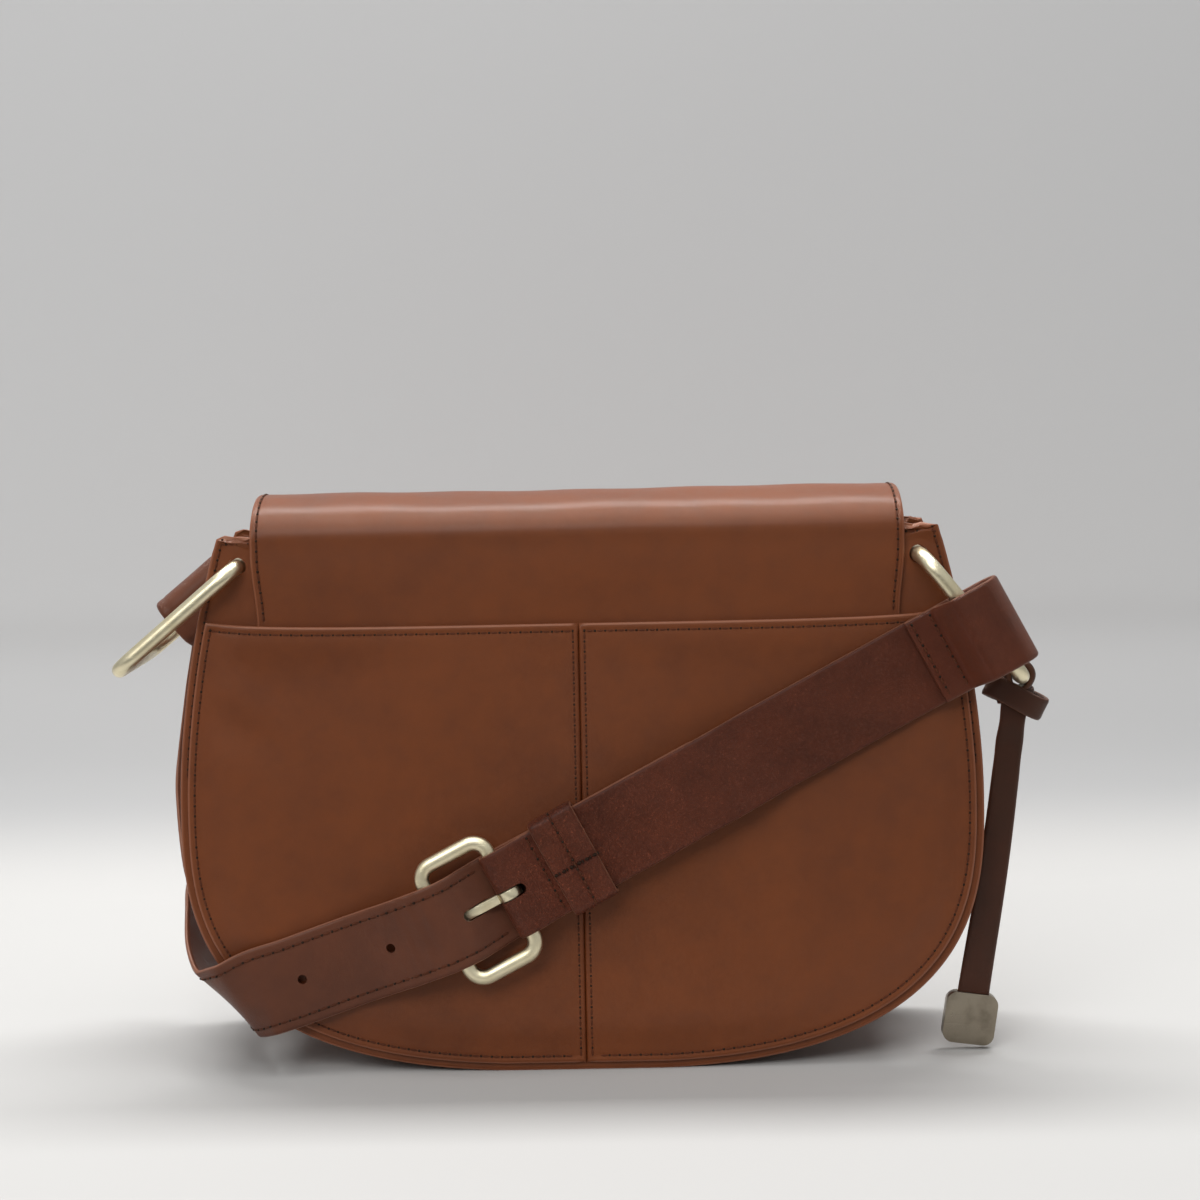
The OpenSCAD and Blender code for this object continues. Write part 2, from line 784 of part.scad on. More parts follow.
// Four corners of the strap's section at each station of the wrap
function wrap_section(j) =
    let(along = wrap_along(j), raw = wrap_value(j, 1),
        wide = unit3(raw - along * (raw * along)), thick = cross(wide, along))
    [for (c = [[-1, -1], [1, -1], [1, 1], [-1, 1]])
        wrap_points[j] + wide * c[0] * strap_w / 2 + thick * c[1] * strap_t / 2];

module wrap_run() {
    points = [for (j = [0 : wrap_count]) each wrap_section(j)];
    last = 4 * wrap_count;
    faces = concat([[2, 1, 0], [3, 2, 0], [last, last + 1, last + 2], [last, last + 2, last + 3]],
        [for (j = [0 : wrap_count - 1]) for (k = [0 : 3])
            let(a = 4 * j + k, b = 4 * j + (k + 1) % 4)
            each [[a, b, a + 4], [b, b + 4, a + 4]]]);
    polyhedron(points = points, faces = faces);
}

module left_loop() {
    multmatrix([[loop_dir[0], 0, loop_across[0], loop_mid[0]],
            [0, -1, 0, loop_mid[1]],
            [loop_dir[2], 0, loop_across[2], loop_mid[2]],
            [0, 0, 0, 1]])
        linear_extrude(height = strap_w, center = true)
            polygon(strip_outline(loop_path(left_tail_l), strap_t));
}

module strap_punched_end() {
    color(strap_leather)
        difference() {
            union() {
                strap_frame() punched_run();
                wrap_run();
                left_loop();
            }
            strap_frame() punched_holes();
        }
}

// Buckle: a heel-bar frame whose far bar lies closer to the bag
buckle_tilt = asin((heel_n - far_bar_n) / buckle_l);

module buckle_frame() {
    color(brass)
        strap_frame()
            translate([0, 0, heel_n])
                rotate([0, -buckle_tilt, 0])
                    mirror([1, 0, 0])
                        wire_loop(buckle_l, buckle_w, buckle_corner, buckle_r);
}

module buckle_prong() {
    eye_r = buckle_r + prong_fit;
    eye_out = fold_r + strap_t / 2 - strap_gap;
    tip_u = -buckle_l - buckle_r / 2;
    tip_n = far_bar_n - buckle_r - strap_gap - prong_t / 2;
    path = [[-eye_r - prong_t / 3, heel_n - prong_t / 3], [tip_u / 2, (heel_n + tip_n) / 2],
        [-buckle_l, tip_n], [tip_u, tip_n]];
    color(brass)
        strap_frame()
            difference() {
                translate([0, prong_w / 2, 0])
                    rotate([90, 0, 0]) {
                        linear_extrude(height = prong_w)
                            polygon(strip_outline(path, prong_t));
                        translate([0, heel_n, 0])
                            cylinder(r = eye_out, h = prong_w);
                    }
                translate([0, 0, heel_n])
                    rotate([90, 0, 0])
                        cylinder(r = eye_r, h = 2 * prong_w, center = true);
            }
}

// Keeper: a loose loop round the strap's three plies
keeper_in_w = strap_w + 2 * keeper_side;
keeper_in_low = keeper_floor;
keeper_in_top = tab_n_keeper + strap_t / 2 + lie_gap;
keeper_corner = keeper_t * 1.2;

module soft_rect(low, high, half, r) {
    translate([-half + r, low]) square([2 * (half - r), high - low]);
    translate([-half, low + r]) square([2 * half, high - low - 2 * r]);
    for (side = [-1, 1]) for (end = [low + r, high - r])
        translate([side * (half - r), end]) circle(r = r);
}

module keeper() {
    color(strap_leather)
        strap_frame()
            translate([keeper_u, 0, 0])
                rotate([90, 0, 90])
                    linear_extrude(height = keeper_l)
                        difference() {
                            soft_rect(keeper_in_low - keeper_t, keeper_in_top + keeper_t,
                                keeper_in_w / 2 + keeper_t, keeper_corner);
                            soft_rect(keeper_in_low, keeper_in_top, keeper_in_w / 2,
                                keeper_side);
                        }
}

// Rings: each turns about a line through its two holes
module ring_left() {
    color(brass)
        translate([-hole_x, ring_shift, hole_z])
            rotate([0, 180 - ring_left_fall, 0])
                wire_loop(ring_l, ring_w, ring_corner, wire_r);
}

module ring_right() {
    color(brass)
        translate([hole_x, -ring_shift, hole_z])
            rotate([0, ring_right_fall, 0])
                wire_loop(ring_l, ring_w, ring_corner, wire_r);
}

// Tag: a thong looped on the right ring's lower bar, with a metal fob at its foot
tag_x = hole_x + fall_r[0] * ring_l;
tag_z = hole_z + fall_r[1] * ring_l;
tag_y = -near_far_y + ring_corner + thong_top_w / 2 + lie_gap;
eye_in = wire_r + lie_gap;
eye_out = eye_in + thong_t;
knot_r = 4;                                  // half of the knot's height
knot_l = 21;                                 // width of the knot
knot_drop = eye_out + knot_r * 0.6;
fob_seat = 9;                                // depth to which the thong sits in the fob

// The tag's frame: its origin is on the ring's lower bar, and Z runs up the thong
module tag_frame() {
    translate([tag_x, tag_y, tag_z])
        rotate([0, thong_lean, 0])
            children();
}

module tag_thong() {
    color(strap_leather)
        tag_frame() {
            difference() {
                union() {
                    rotate([90, 0, 0])
                        cylinder(r = eye_out, h = thong_top_w, center = true);
                    translate([0, 0, -knot_drop])
                        rotate([0, 90, 0])
                            cylinder(r = knot_r, h = knot_l, center = true);
                }
                rotate([90, 0, 0])
                    cylinder(r = eye_in, h = 3 * thong_top_w, center = true);
            }
            translate([0, thong_t / 2, 0])
                rotate([90, 0, 0])
                    linear_extrude(height = thong_t)
                        polygon([[-thong_top_w / 2, -knot_drop], [thong_top_w / 2, -knot_drop],
                            [thong_foot_w / 2, -thong_l], [-thong_foot_w / 2, -thong_l]]);
        }
}

module tag_fob() {
    fob_r = 4;
    color(nickel)
        tag_frame()
            translate([0, 0, -thong_l])
                difference() {
                    translate([0, fob_t / 2, 0])
                        rotate([90, 0, 0])
                            linear_extrude(height = fob_t)
                                soft_rect(fob_seat - fob_h, fob_seat, fob_w / 2, fob_r);
                    translate([-thong_foot_w / 2 - ply_gap, -thong_t / 2 - ply_gap, -ply_gap])
                        cube([thong_foot_w + 2 * ply_gap, thong_t + 2 * ply_gap, fob_h]);
                }
}

back_panel();
front_panel();
gusset_left();
gusset_base();
gusset_right();
pocket_left();
pocket_right();
facing_back();
facing_front();
lining();
inner_pocket();
base_board();
flap_tail();
flap();
flap_lining();
snap_male();
snap_female();
snap_washer();
ring_left();
ring_right();
strap_buckle_end();
strap_punched_end();
buckle_frame();
buckle_prong();
keeper();
tag_thong();
tag_fob();
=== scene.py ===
"""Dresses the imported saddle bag: leather, lining, stitching, metal parts, studio and camera.

Sizes are written in millimetres in the frame of the CAD model and turned into metres once,
where a mesh is made.
"""
import logging
import math
from dataclasses import dataclass
from enum import Enum
from functools import cache
from typing import Callable, Optional, Sequence

import bmesh
import bpy
import numpy as np
from mathutils import Matrix


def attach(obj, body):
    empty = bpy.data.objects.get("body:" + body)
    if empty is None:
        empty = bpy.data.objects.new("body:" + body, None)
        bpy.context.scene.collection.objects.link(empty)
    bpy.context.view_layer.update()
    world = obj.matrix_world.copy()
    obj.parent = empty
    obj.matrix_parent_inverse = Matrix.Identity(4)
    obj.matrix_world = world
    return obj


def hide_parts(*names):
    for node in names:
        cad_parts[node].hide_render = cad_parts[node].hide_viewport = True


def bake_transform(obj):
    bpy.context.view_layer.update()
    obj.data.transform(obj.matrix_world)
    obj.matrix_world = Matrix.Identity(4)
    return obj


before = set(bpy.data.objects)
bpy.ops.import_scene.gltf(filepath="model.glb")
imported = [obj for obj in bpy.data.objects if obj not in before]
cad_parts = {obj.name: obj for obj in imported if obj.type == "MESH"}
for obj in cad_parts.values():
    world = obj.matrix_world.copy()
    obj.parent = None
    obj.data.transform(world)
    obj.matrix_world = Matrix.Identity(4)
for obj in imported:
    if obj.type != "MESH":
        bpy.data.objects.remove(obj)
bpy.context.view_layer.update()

MM = 0.001
LOG = logging.getLogger("saddle_bag")

Array = np.ndarray
Colour = tuple[float, float, float, float]
Point = tuple[float, float]
Lines = list[Array]
Surface = Callable[[Array, Array], Array]
Piece = bpy.types.Object
Material = bpy.types.Material
Socket = bpy.types.NodeSocket


class Body(Enum):
    """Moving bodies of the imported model."""

    BAG = "bag"
    FLAP = "flap"
    LEFT_RING = "left_ring"
    RIGHT_RING = "right_ring"
    TAG = "tag"
    PRONG = "prong"
    KEEPER = "strap_keeper"


class Slot(Enum):
    """Material slots, which the log names for each piece."""

    BODY = "body_leather"
    STRAP = "strap_leather"
    LINING = "lining_cloth"
    BOARD = "stiff_board"
    BRASS = "pale_brass"
    NICKEL = "satin_nickel"


# ---- Numbers and lines


def srgb(red: float, green: float, blue: float) -> Colour:
    """Turns a colour of 0 to 255 on screen into Blender's linear one.

    Args:
        red: Red on screen.
        green: Green on screen.
        blue: Blue on screen.

    Returns:
        The linear colour, opaque.
    """
    def linear(value: float) -> float:
        """One channel."""
        part = value / 255
        return part / 12.92 if part <= 0.04045 else ((part + 0.055) / 1.055) ** 2.4
    return linear(red), linear(green), linear(blue), 1.0


def ease(t: Array) -> Array:
    """Smooth step from 0 to 1."""
    return (1 - np.cos(np.pi * np.clip(t, 0, 1))) / 2


def glide(low: float, high: float, t: Array) -> Array:
    """Smooth step from one value to another, as t goes from 0 to 1."""
    return low + (high - low) * ease(t)


def hump(x: Array, width: float) -> Array:
    """Bell of height 1 round 0."""
    return np.exp(-(np.asarray(x) / width) ** 2)


def unit(v: Array) -> Array:
    """Vectors of length 1, along the last axis."""
    v = np.asarray(v, float)
    return v / np.maximum(np.linalg.norm(v, axis=-1, keepdims=True), 1e-9)


def left_of(along: Array) -> Array:
    """Flat directions, turned a quarter turn to the left."""
    return np.stack([-along[:, 1], along[:, 0]], axis=1)


def mirrored(line: Array) -> Array:
    """A flat line on the left side, in the other order."""
    return line[::-1] * [-1, 1]


def run_along(line: Array) -> Array:
    """Distance along a line at each of its points."""
    return np.r_[0, np.cumsum(np.linalg.norm(np.diff(line, axis=0), axis=1))]


def resample(line: Array, spacing: float) -> Array:
    """Sets points at equal steps along an open line.

    Args:
        line: The line's points, one a row.
        spacing: Wanted distance between points.

    Returns:
        The new points, both ends kept.
    """
    line = np.asarray(line, float)
    run = run_along(line)
    count = max(2, int(round(run[-1] / spacing)) + 1)
    steps = np.linspace(0, run[-1], count)
    return np.stack([np.interp(steps, run, line[:, k]) for k in range(line.shape[1])], axis=1)


def rounded_box(low: Point, high: Point, radius: float, steps: int) -> Array:
    """Lays out a rectangle with rounded corners.

    Args:
        low: Its least corner.
        high: Its greatest corner.
        radius: Radius of the corners.
        steps: Points on each corner.

    Returns:
        A closed loop of points, from the right side upwards, whose last point is its first.
    """
    arc = np.linspace(0, np.pi / 2, steps)
    right, left = high[0] - radius, low[0] + radius
    top, foot = high[1] - radius, low[1] + radius
    parts = [np.stack([x + radius * np.cos(arc + np.pi / 2 * turn),
                       y + radius * np.sin(arc + np.pi / 2 * turn)], axis=1)
             for turn, (x, y) in enumerate([(right, top), (left, top), (left, foot),
                                            (right, foot)])]
    return np.concatenate(parts + [parts[0][:1]])


def wire_path(length: float, width: float, corner: float, step: float = 1.0) -> Array:
    """Lays out a wire's flat centre line.

    Args:
        length: Length in X, from 0.
        width: Width in Y, centred.
        corner: Radius of the corners.
        step: Wanted distance between points.

    Returns:
        The closed line, without its first point again at the end.
    """
    return resample(rounded_box((0, -width / 2), (length, width / 2), corner, 13), step)[:-1]


@dataclass(frozen=True)
class Wave:
    """Slow wave in a leather face; a reach is the way along an axis for one radian."""

    height: float
    reach_x: float
    reach_z: float
    phase: float = 0.0

    def at(self, x: Array, z: Array) -> Array:
        """Height of the wave at a place."""
        return self.height * np.sin(x / self.reach_x + z / self.reach_z + self.phase)


@dataclass(frozen=True)
class Spot:
    """Place on a face round which an effect dies out."""

    x: float
    z: float
    reach_x: float
    reach_z: float

    def at(self, x: Array, z: Array) -> Array:
        """Strength at a place, 1 in the middle."""
        return hump(x - self.x, self.reach_x) * hump(z - self.z, self.reach_z)


# ---- Meshes

ROUND_OVER = 0.42
GROOVE = 0.7
FRINGE = np.array([0, 0.35, 0.9, 1.6, 2.4, 3.3, 4.2, 6.0, 9.0])
RINGS = (0.0, 0.35, 0.9, 1.6, 2.4, 3.2, 4.2, 5.6, 7.5, 10.0, 14.0, 20.0)
INNER_RINGS = 9


def rounded(depth: Array, reach: float = 0.45) -> Array:
    """Share of a ply's thickness that is left at a distance from its rounded edge."""
    return 1 - ROUND_OVER * hump(depth, reach)


def painted_edge(depth: Array, width: float, blur: float = 0.4) -> Array:
    """Paint on a face beside its cut edge, 1 at the edge and 0 past the paint's width."""
    return np.clip((width - depth) / blur + 0.5, 0, 1)


@dataclass
class Patch:
    """How the points of an open sheet are joined: faces, border loops, and what lies inside."""

    faces: list
    borders: list
    inside: list


def grid_patch(rows: int, columns: int, wrapped: bool = False) -> Patch:
    """Joins a grid of points.

    Args:
        rows: Number of rows of points.
        columns: Number of points in a row.
        wrapped: Whether the last row joins the first.

    Returns:
        The patch.
    """
    index = np.arange(rows * columns).reshape(rows, columns)
    after = np.roll(index, -1, axis=0) if wrapped else index[1:]
    before = index if wrapped else index[:-1]
    quads = np.stack([before[:, :-1], before[:, 1:], after[:, 1:], after[:, :-1]], axis=-1)
    faces = quads.reshape(-1, 4).tolist()
    if wrapped:
        return Patch(faces, [index[:, 0], index[::-1, -1]], [index[:, 1], index[::-1, -2]])
    row = np.r_[np.zeros(columns - 1, int), np.arange(rows - 1),
                np.full(columns - 1, rows - 1), np.arange(rows - 1, 0, -1)]
    column = np.r_[np.arange(columns - 1), np.full(rows - 1, columns - 1),
                   np.arange(columns - 1, 0, -1), np.zeros(rows - 1, int)]
    inside = index[np.clip(row, 1, rows - 2), np.clip(column, 1, columns - 2)]
    return Patch(faces, [index[row, column]], [inside])


def disc_patch(rings: int, spokes: int) -> Patch:
    """Joins rings of points, outermost first, with one point in the middle at the end.

    Args:
        rings: Number of rings.
        spokes: Number of points in a ring.

    Returns:
        The patch.
    """
    index = np.arange(rings * spokes).reshape(rings, spokes)
    ahead = np.roll(index, -1, axis=1)
    quads = np.stack([index[:-1], ahead[:-1], ahead[1:], index[1:]], axis=-1)
    middle = rings * spokes
    fan = [[int(a), int(b), middle] for a, b in zip(index[-1], ahead[-1])]
    return Patch(quads.reshape(-1, 4).tolist() + fan, [index[0]], [index[1]])


def new_object(name: str, data: Optional[bpy.types.ID]) -> Piece:
    """Adds an object to the scene, at the origin."""
    piece = bpy.data.objects.new(name, data)
    bpy.context.scene.collection.objects.link(piece)
    return piece


def raw_mesh(name: str, points: Array, faces: list, marks: Optional[Sequence[int]] = None,
             paint: Optional[Array] = None) -> Piece:
    """Makes a mesh object at the origin with its faces turned outwards.

    Args:
        name: Name of the piece.
        points: Points in millimetres.
        faces: Point numbers of each face.
        marks: Number of each face's material.
        paint: How much of a cut, painted edge each point has, 0 to 1.

    Returns:
        The object.
    """
    mesh = bpy.data.meshes.new(name)
    mesh.from_pydata((np.asarray(points, float) * MM).tolist(), [], faces)
    if marks is not None:
        mesh.polygons.foreach_set("material_index", np.asarray(marks, dtype=np.int32))
    layer = mesh.attributes.new("paint", "FLOAT", "POINT")
    if paint is not None:
        layer.data.foreach_set("value", np.asarray(paint, dtype=np.float32))
    work = bmesh.new()
    work.from_mesh(mesh)
    bmesh.ops.recalc_face_normals(work, faces=work.faces)
    work.to_mesh(mesh)
    work.free()
    mesh.shade_smooth()
    return new_object(name, mesh)


def solid(name: str, outer: Array, inner: Array, patch: Patch, bulge: float = 0.15,
          paint: Optional[Array] = None, inner_marks: Optional[Sequence[int]] = None
          ) -> Piece:
    """Makes a closed sheet of leather or cloth from its two faces.

    Args:
        name: Name of the piece.
        outer: Points of the outer face.
        inner: Points of the inner face, in the same order.
        patch: How both are joined.
        bulge: How far the cut edge rounds out.
        paint: Painted edge of each point of a face.
        inner_marks: Material number of each face of the inner face.

    Returns:
        The object.
    """
    count = len(outer)
    points = [outer, inner]
    faces = list(patch.faces) + [[i + count for i in face[::-1]] for face in patch.faces]
    marks = [0] * len(patch.faces) + list(inner_marks or [0] * len(patch.faces))
    start = 2 * count
    for border, inside in zip(patch.borders, patch.inside):
        size = len(border)
        away = unit(outer[border] - outer[inside])
        rows = [border]
        for part in (0.3, 0.7):
            points.append(outer[border] * (1 - part) + inner[border] * part + away * bulge)
            rows.append(np.arange(start, start + size))
            start += size
        rows.append(border + count)
        for low, high in zip(rows[:-1], rows[1:]):
            for i in range(size):
                j = (i + 1) % size
                faces.append([int(low[j]), int(low[i]), int(high[i]), int(high[j])])
                marks.append(0)
    given = np.zeros(count) if paint is None else np.asarray(paint, float)
    walls = [np.tile((given[border] > 0.3).astype(float), 2) for border in patch.borders]
    return raw_mesh(name, np.concatenate(points), faces, marks,
                    np.concatenate([given, given] + walls))


def disc_points(outline: Array, centre: Point) -> tuple[Array, Array]:
    """Lays rings of flat points inside an outline.

    Args:
        outline: Closed outline, in X and Z.
        centre: A point that the whole outline can be seen from.

    Returns:
        The flat points with the centre last, and each one's distance inside the outline.
    """
    middle = np.array(centre, float)
    along = unit(np.roll(outline, -1, axis=0) - np.roll(outline, 1, axis=0))
    arm = outline - middle
    height = np.abs((arm * left_of(along)).sum(axis=1))
    for _ in range(3):
        height = (np.roll(height, 1) + height + np.roll(height, -1)) / 3
    flat, depth = [], []
    for distance in RINGS:
        flat.append(middle + arm * (1 - distance / height)[:, None])
        depth.append(np.full(len(outline), distance))
    last = 1 - RINGS[-1] / height
    for i in range(1, INNER_RINGS + 1):
        part = last * (1 - i / (INNER_RINGS + 0.6))
        flat.append(middle + arm * part[:, None])
        depth.append((1 - part) * height)
    flat.append(middle[None])
    depth.append(np.array([height.min()]))
    return np.concatenate(flat), np.concatenate(depth)


def leather_ply(name: str, sides: Lines, centre: Point, middle: Surface, thickness: float,
                out: int, relief: Optional[Callable[[Array, Array, Array], Array]] = None,
                painted: float = 0.6, bare_half: float = 0.0) -> Piece:
    """Makes a flat-lying ply with rounded, painted edges.

    Args:
        name: Name of the piece.
        sides: Lines that make up its outline in X and Z.
        centre: A point that the whole outline can be seen from.
        middle: Gives the depth Y of the ply's middle at X and Z.
        thickness: Thickness of the leather.
        out: -1 where its outer face looks to the back, 1 to the front.
        relief: Gives how far the outer face stands out at X, Z and a distance from the edge.
        painted: Width of the painted edge.
        bare_half: Half width round the middle where the edge is turned in, so not painted.

    Returns:
        The object.
    """
    outline = np.concatenate([resample(side, 3.0)[:-1] for side in sides])
    flat, depth = disc_points(outline, centre)
    x, z = flat.T
    level = middle(x, z)
    half = thickness / 2 * rounded(depth)
    raised = half if relief is None else half + relief(x, z, depth)
    outer = np.stack([x, level + out * raised, z], axis=1)
    inner = np.stack([x, level - out * half, z], axis=1)
    paint = np.where(np.abs(x) < bare_half, 0, painted_edge(depth, painted))
    return solid(name, outer, inner, disc_patch(len(RINGS) + INNER_RINGS, len(outline)),
                 paint=paint)


@dataclass
class StrapFrame:
    """Directions and run along a strap's middle line."""

    across: Array
    out: Array
    run: Array


def ribbon_frame(middle: Array, across: Array, wrapped: bool = False) -> StrapFrame:
    """Works out a strap's directions at each of its points.

    Args:
        middle: Points of the strap's middle line.
        across: Direction across the strap, about, at each point.
        wrapped: Whether the strap closes on itself.

    Returns:
        The directions, square to the line.
    """
    if wrapped:
        along = unit(np.roll(middle, -1, axis=0) - np.roll(middle, 1, axis=0))
    else:
        along = unit(np.gradient(middle, axis=0))
    across = np.broadcast_to(np.asarray(across, float), middle.shape)
    wide = unit(across - along * (across * along).sum(axis=1, keepdims=True))
    return StrapFrame(wide, np.cross(wide, along), run_along(middle))


def ribbon(name: str, middle: Array, across: Array, width: Array | float,
           thickness: float, relief: Optional[Surface] = None, wrapped: bool = False,
           crown: float = 0.0, painted: float = 0.12) -> Piece:
    """Makes a strap of leather along a path.

    Args:
        name: Name of the piece.
        middle: Points of the strap's middle line.
        across: Direction across the strap at each point.
        width: Width, or the width at each point.
        thickness: Thickness of the leather.
        relief: Gives how far the outer face stands out, at the run along the strap and the
            place across it.
        wrapped: Whether the strap closes on itself.
        crown: How much thicker the strap is at its middle.
        painted: Width of the painted edge on the faces.

    Returns:
        The object.
    """
    lay = ribbon_frame(middle, across, wrapped)
    width = np.broadcast_to(np.asarray(width, float), (len(middle),))
    half = width.max() / 2
    fringe = np.array([0, 0.3, 0.8, 1.6, 2.6, 3.6, 5.0])
    fringe = fringe[fringe < half * 0.7]
    inner = np.linspace(fringe[-1], half, max(3, int((half - fringe[-1]) / 2.2) + 2))[1:]
    left = np.r_[fringe, inner]
    share = np.r_[-(half - left), (half - left)[::-1][1:]] / half
    place = share[None, :] * width[:, None] / 2
    depth = (1 - np.abs(share))[None, :] * width[:, None] / 2
    flesh = thickness / 2 * rounded(depth, 0.4)
    lift = flesh + crown * (1 - np.abs(share)[None, :] ** 2.5)
    if relief is not None:
        lift = lift + relief(lay.run[:, None], place)
    base = middle[:, None, :] + lay.across[:, None, :] * place[..., None]
    outer = base + lay.out[:, None, :] * lift[..., None]
    under = base - lay.out[:, None, :] * flesh[..., None]
    return solid(name, outer.reshape(-1, 3), under.reshape(-1, 3),
                 grid_patch(len(middle), len(share), wrapped), bulge=0.2,
                 paint=painted_edge(depth, painted, 0.25).ravel())


def tube(name: str, path: Array, normal: Array, radius: float, sides: int,
         flat: float = 1.0) -> Piece:
    """Makes a closed wire along a flat closed path.

    Args:
        name: Name of the piece.
        path: Points of the wire's centre line.
        normal: Direction square to the path's plane.
        radius: Radius of the wire.
        sides: Points round the wire.
        flat: Height of the section across the plane, as a share of its radius.

    Returns:
        The object.
    """
    along = unit(np.roll(path, -1, axis=0) - np.roll(path, 1, axis=0))
    up = unit(normal)
    side = np.cross(along, up)
    turn = np.linspace(0, 2 * np.pi, sides, endpoint=False)
    points = (path[:, None, :] + radius * (np.cos(turn)[None, :, None] * side[:, None, :]
              + flat * np.sin(turn)[None, :, None] * up[None, None, :]))
    index = np.arange(len(path) * sides).reshape(len(path), sides)
    ahead = np.roll(index, -1, axis=0)
    quads = np.stack([index, np.roll(index, -1, axis=1), np.roll(ahead, -1, axis=1), ahead],
                     axis=-1)
    return raw_mesh(name, points.reshape(-1, 3), quads.reshape(-1, 4).tolist())


def cutter(low: Array, high: Array) -> Piece:
    """Makes a straight cutter, whose walls leave a painted edge.

    Args:
        low: Loop of points at its near end.
        high: The same loop at its far end.

    Returns:
        The closed tool.
    """
    size = len(low)
    around = list(range(size))
    faces = [around[::-1], [i + size for i in around]]
    faces += [[i, (i + 1) % size, size + (i + 1) % size, size + i] for i in around]
    return raw_mesh("cutter", np.concatenate([low, high]), faces, paint=np.ones(2 * size))


def peg(centre: Array, axis: Array, radius: float, length: float, sides: int = 28) -> Piece:
    """Makes a round cutter.

    Args:
        centre: Its middle.
        axis: Direction along it.
        radius: Radius of the hole that it cuts.
        length: Its length.
        sides: Points round it.

    Returns:
        The closed tool.
    """
    axis = unit(axis)
    side = unit(np.cross(axis, [0.3, 0.2, 0.9]))
    up = np.cross(axis, side)
    turn = np.linspace(0, 2 * np.pi, sides, endpoint=False)
    ring = radius * (np.cos(turn)[:, None] * side + np.sin(turn)[:, None] * up)
    return cutter(centre + ring - axis * length / 2, centre + ring + axis * length / 2)


def evaluated(piece: Piece) -> bpy.types.Mesh:
    """The plain mesh that a piece's modifiers make."""
    graph = bpy.context.evaluated_depsgraph_get()
    graph.update()
    return bpy.data.meshes.new_from_object(piece.evaluated_get(graph))


def settle(piece: Piece, sharp: float) -> None:
    """Turns a piece and its modifiers into a plain mesh, smooth up to an angle.

    Args:
        piece: The piece.
        sharp: Angle past which an edge stays sharp, in degrees.
    """
    mesh = evaluated(piece)
    piece.modifiers.clear()
    piece.data = mesh
    mesh.shade_smooth()
    mesh.set_sharp_from_angle(angle=math.radians(sharp))


def cut(piece: Piece, tools: Sequence[Piece], sharp: float = 35.0) -> None:
    """Cuts closed tools out of a piece and removes the tools.

    Args:
        piece: The piece.
        tools: The cutters.
        sharp: Angle past which an edge stays sharp, in degrees.
    """
    for tool in tools:
        modifier = piece.modifiers.new("cut", "BOOLEAN")
        modifier.operation = "DIFFERENCE"
        modifier.solver = "EXACT"
        modifier.object = tool
    settle(piece, sharp)
    for tool in tools:
        bpy.data.objects.remove(tool, do_unlink=True)


def bevelled(name: str, node: str, width: float, angle: float = 30.0) -> Piece:
    """Copies a CAD node and rounds its edges.

    Args:
        name: Name of the piece.
        node: The CAD node.
        width: Width of the rounding, in millimetres.
        angle: Smallest angle that counts as an edge, in degrees.

    Returns:
        The object, at the origin.
    """
    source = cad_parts[node]
    mesh = source.data.copy()
    mesh.transform(source.matrix_world)
    mesh.materials.clear()
    work = bmesh.new()
    work.from_mesh(mesh)
    bmesh.ops.remove_doubles(work, verts=work.verts, dist=0.00002)
    bmesh.ops.dissolve_limit(work, angle_limit=math.radians(1), verts=work.verts,
                             edges=work.edges)
    bmesh.ops.recalc_face_normals(work, faces=work.faces)
    work.to_mesh(mesh)
    work.free()
    piece = new_object(name, mesh)
    modifier = piece.modifiers.new("round", "BEVEL")
    modifier.width = width * MM
    modifier.segments = 3
    modifier.limit_method = "ANGLE"
    modifier.angle_limit = math.radians(angle)
    settle(piece, 25)
    if "paint" not in piece.data.attributes:
        piece.data.attributes.new("paint", "FLOAT", "POINT")
    return piece


def join(name: str, parts: Sequence[Piece]) -> Piece:
    """Joins pieces into one object.

    Args:
        name: Name of the joined piece.
        parts: The pieces, which are removed.

    Returns:
        The object.
    """
    work = bmesh.new()
    for part in parts:
        work.from_mesh(part.data)
    mesh = bpy.data.meshes.new(name)
    work.to_mesh(mesh)
    work.free()
    for part in parts:
        bpy.data.objects.remove(part, do_unlink=True)
    mesh.shade_smooth()
    return new_object(name, mesh)


def dress(piece: Piece, body: Optional[Body], slot: Slot, materials: Sequence[Material],
          nodes: Sequence[str] = ()) -> None:
    """Gives a piece its body and materials, hides the CAD nodes that it stands for and logs its
    slot.

    Args:
        piece: The piece.
        body: The body that it rides on, or nothing, which leaves it on no body.
        slot: Its slot.
        materials: Its materials.
        nodes: The CAD nodes.
    """
    if len(piece.data.materials):
        piece.data.materials.clear()
    for material in materials:
        piece.data.materials.append(material)
    if body is not None:
        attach(piece, body.value)
    if nodes:
        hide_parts(*nodes)
    LOG.info("%s: %d faces in %s", piece.name, len(piece.data.polygons), slot.value)


# ---- Shape of the whole bag


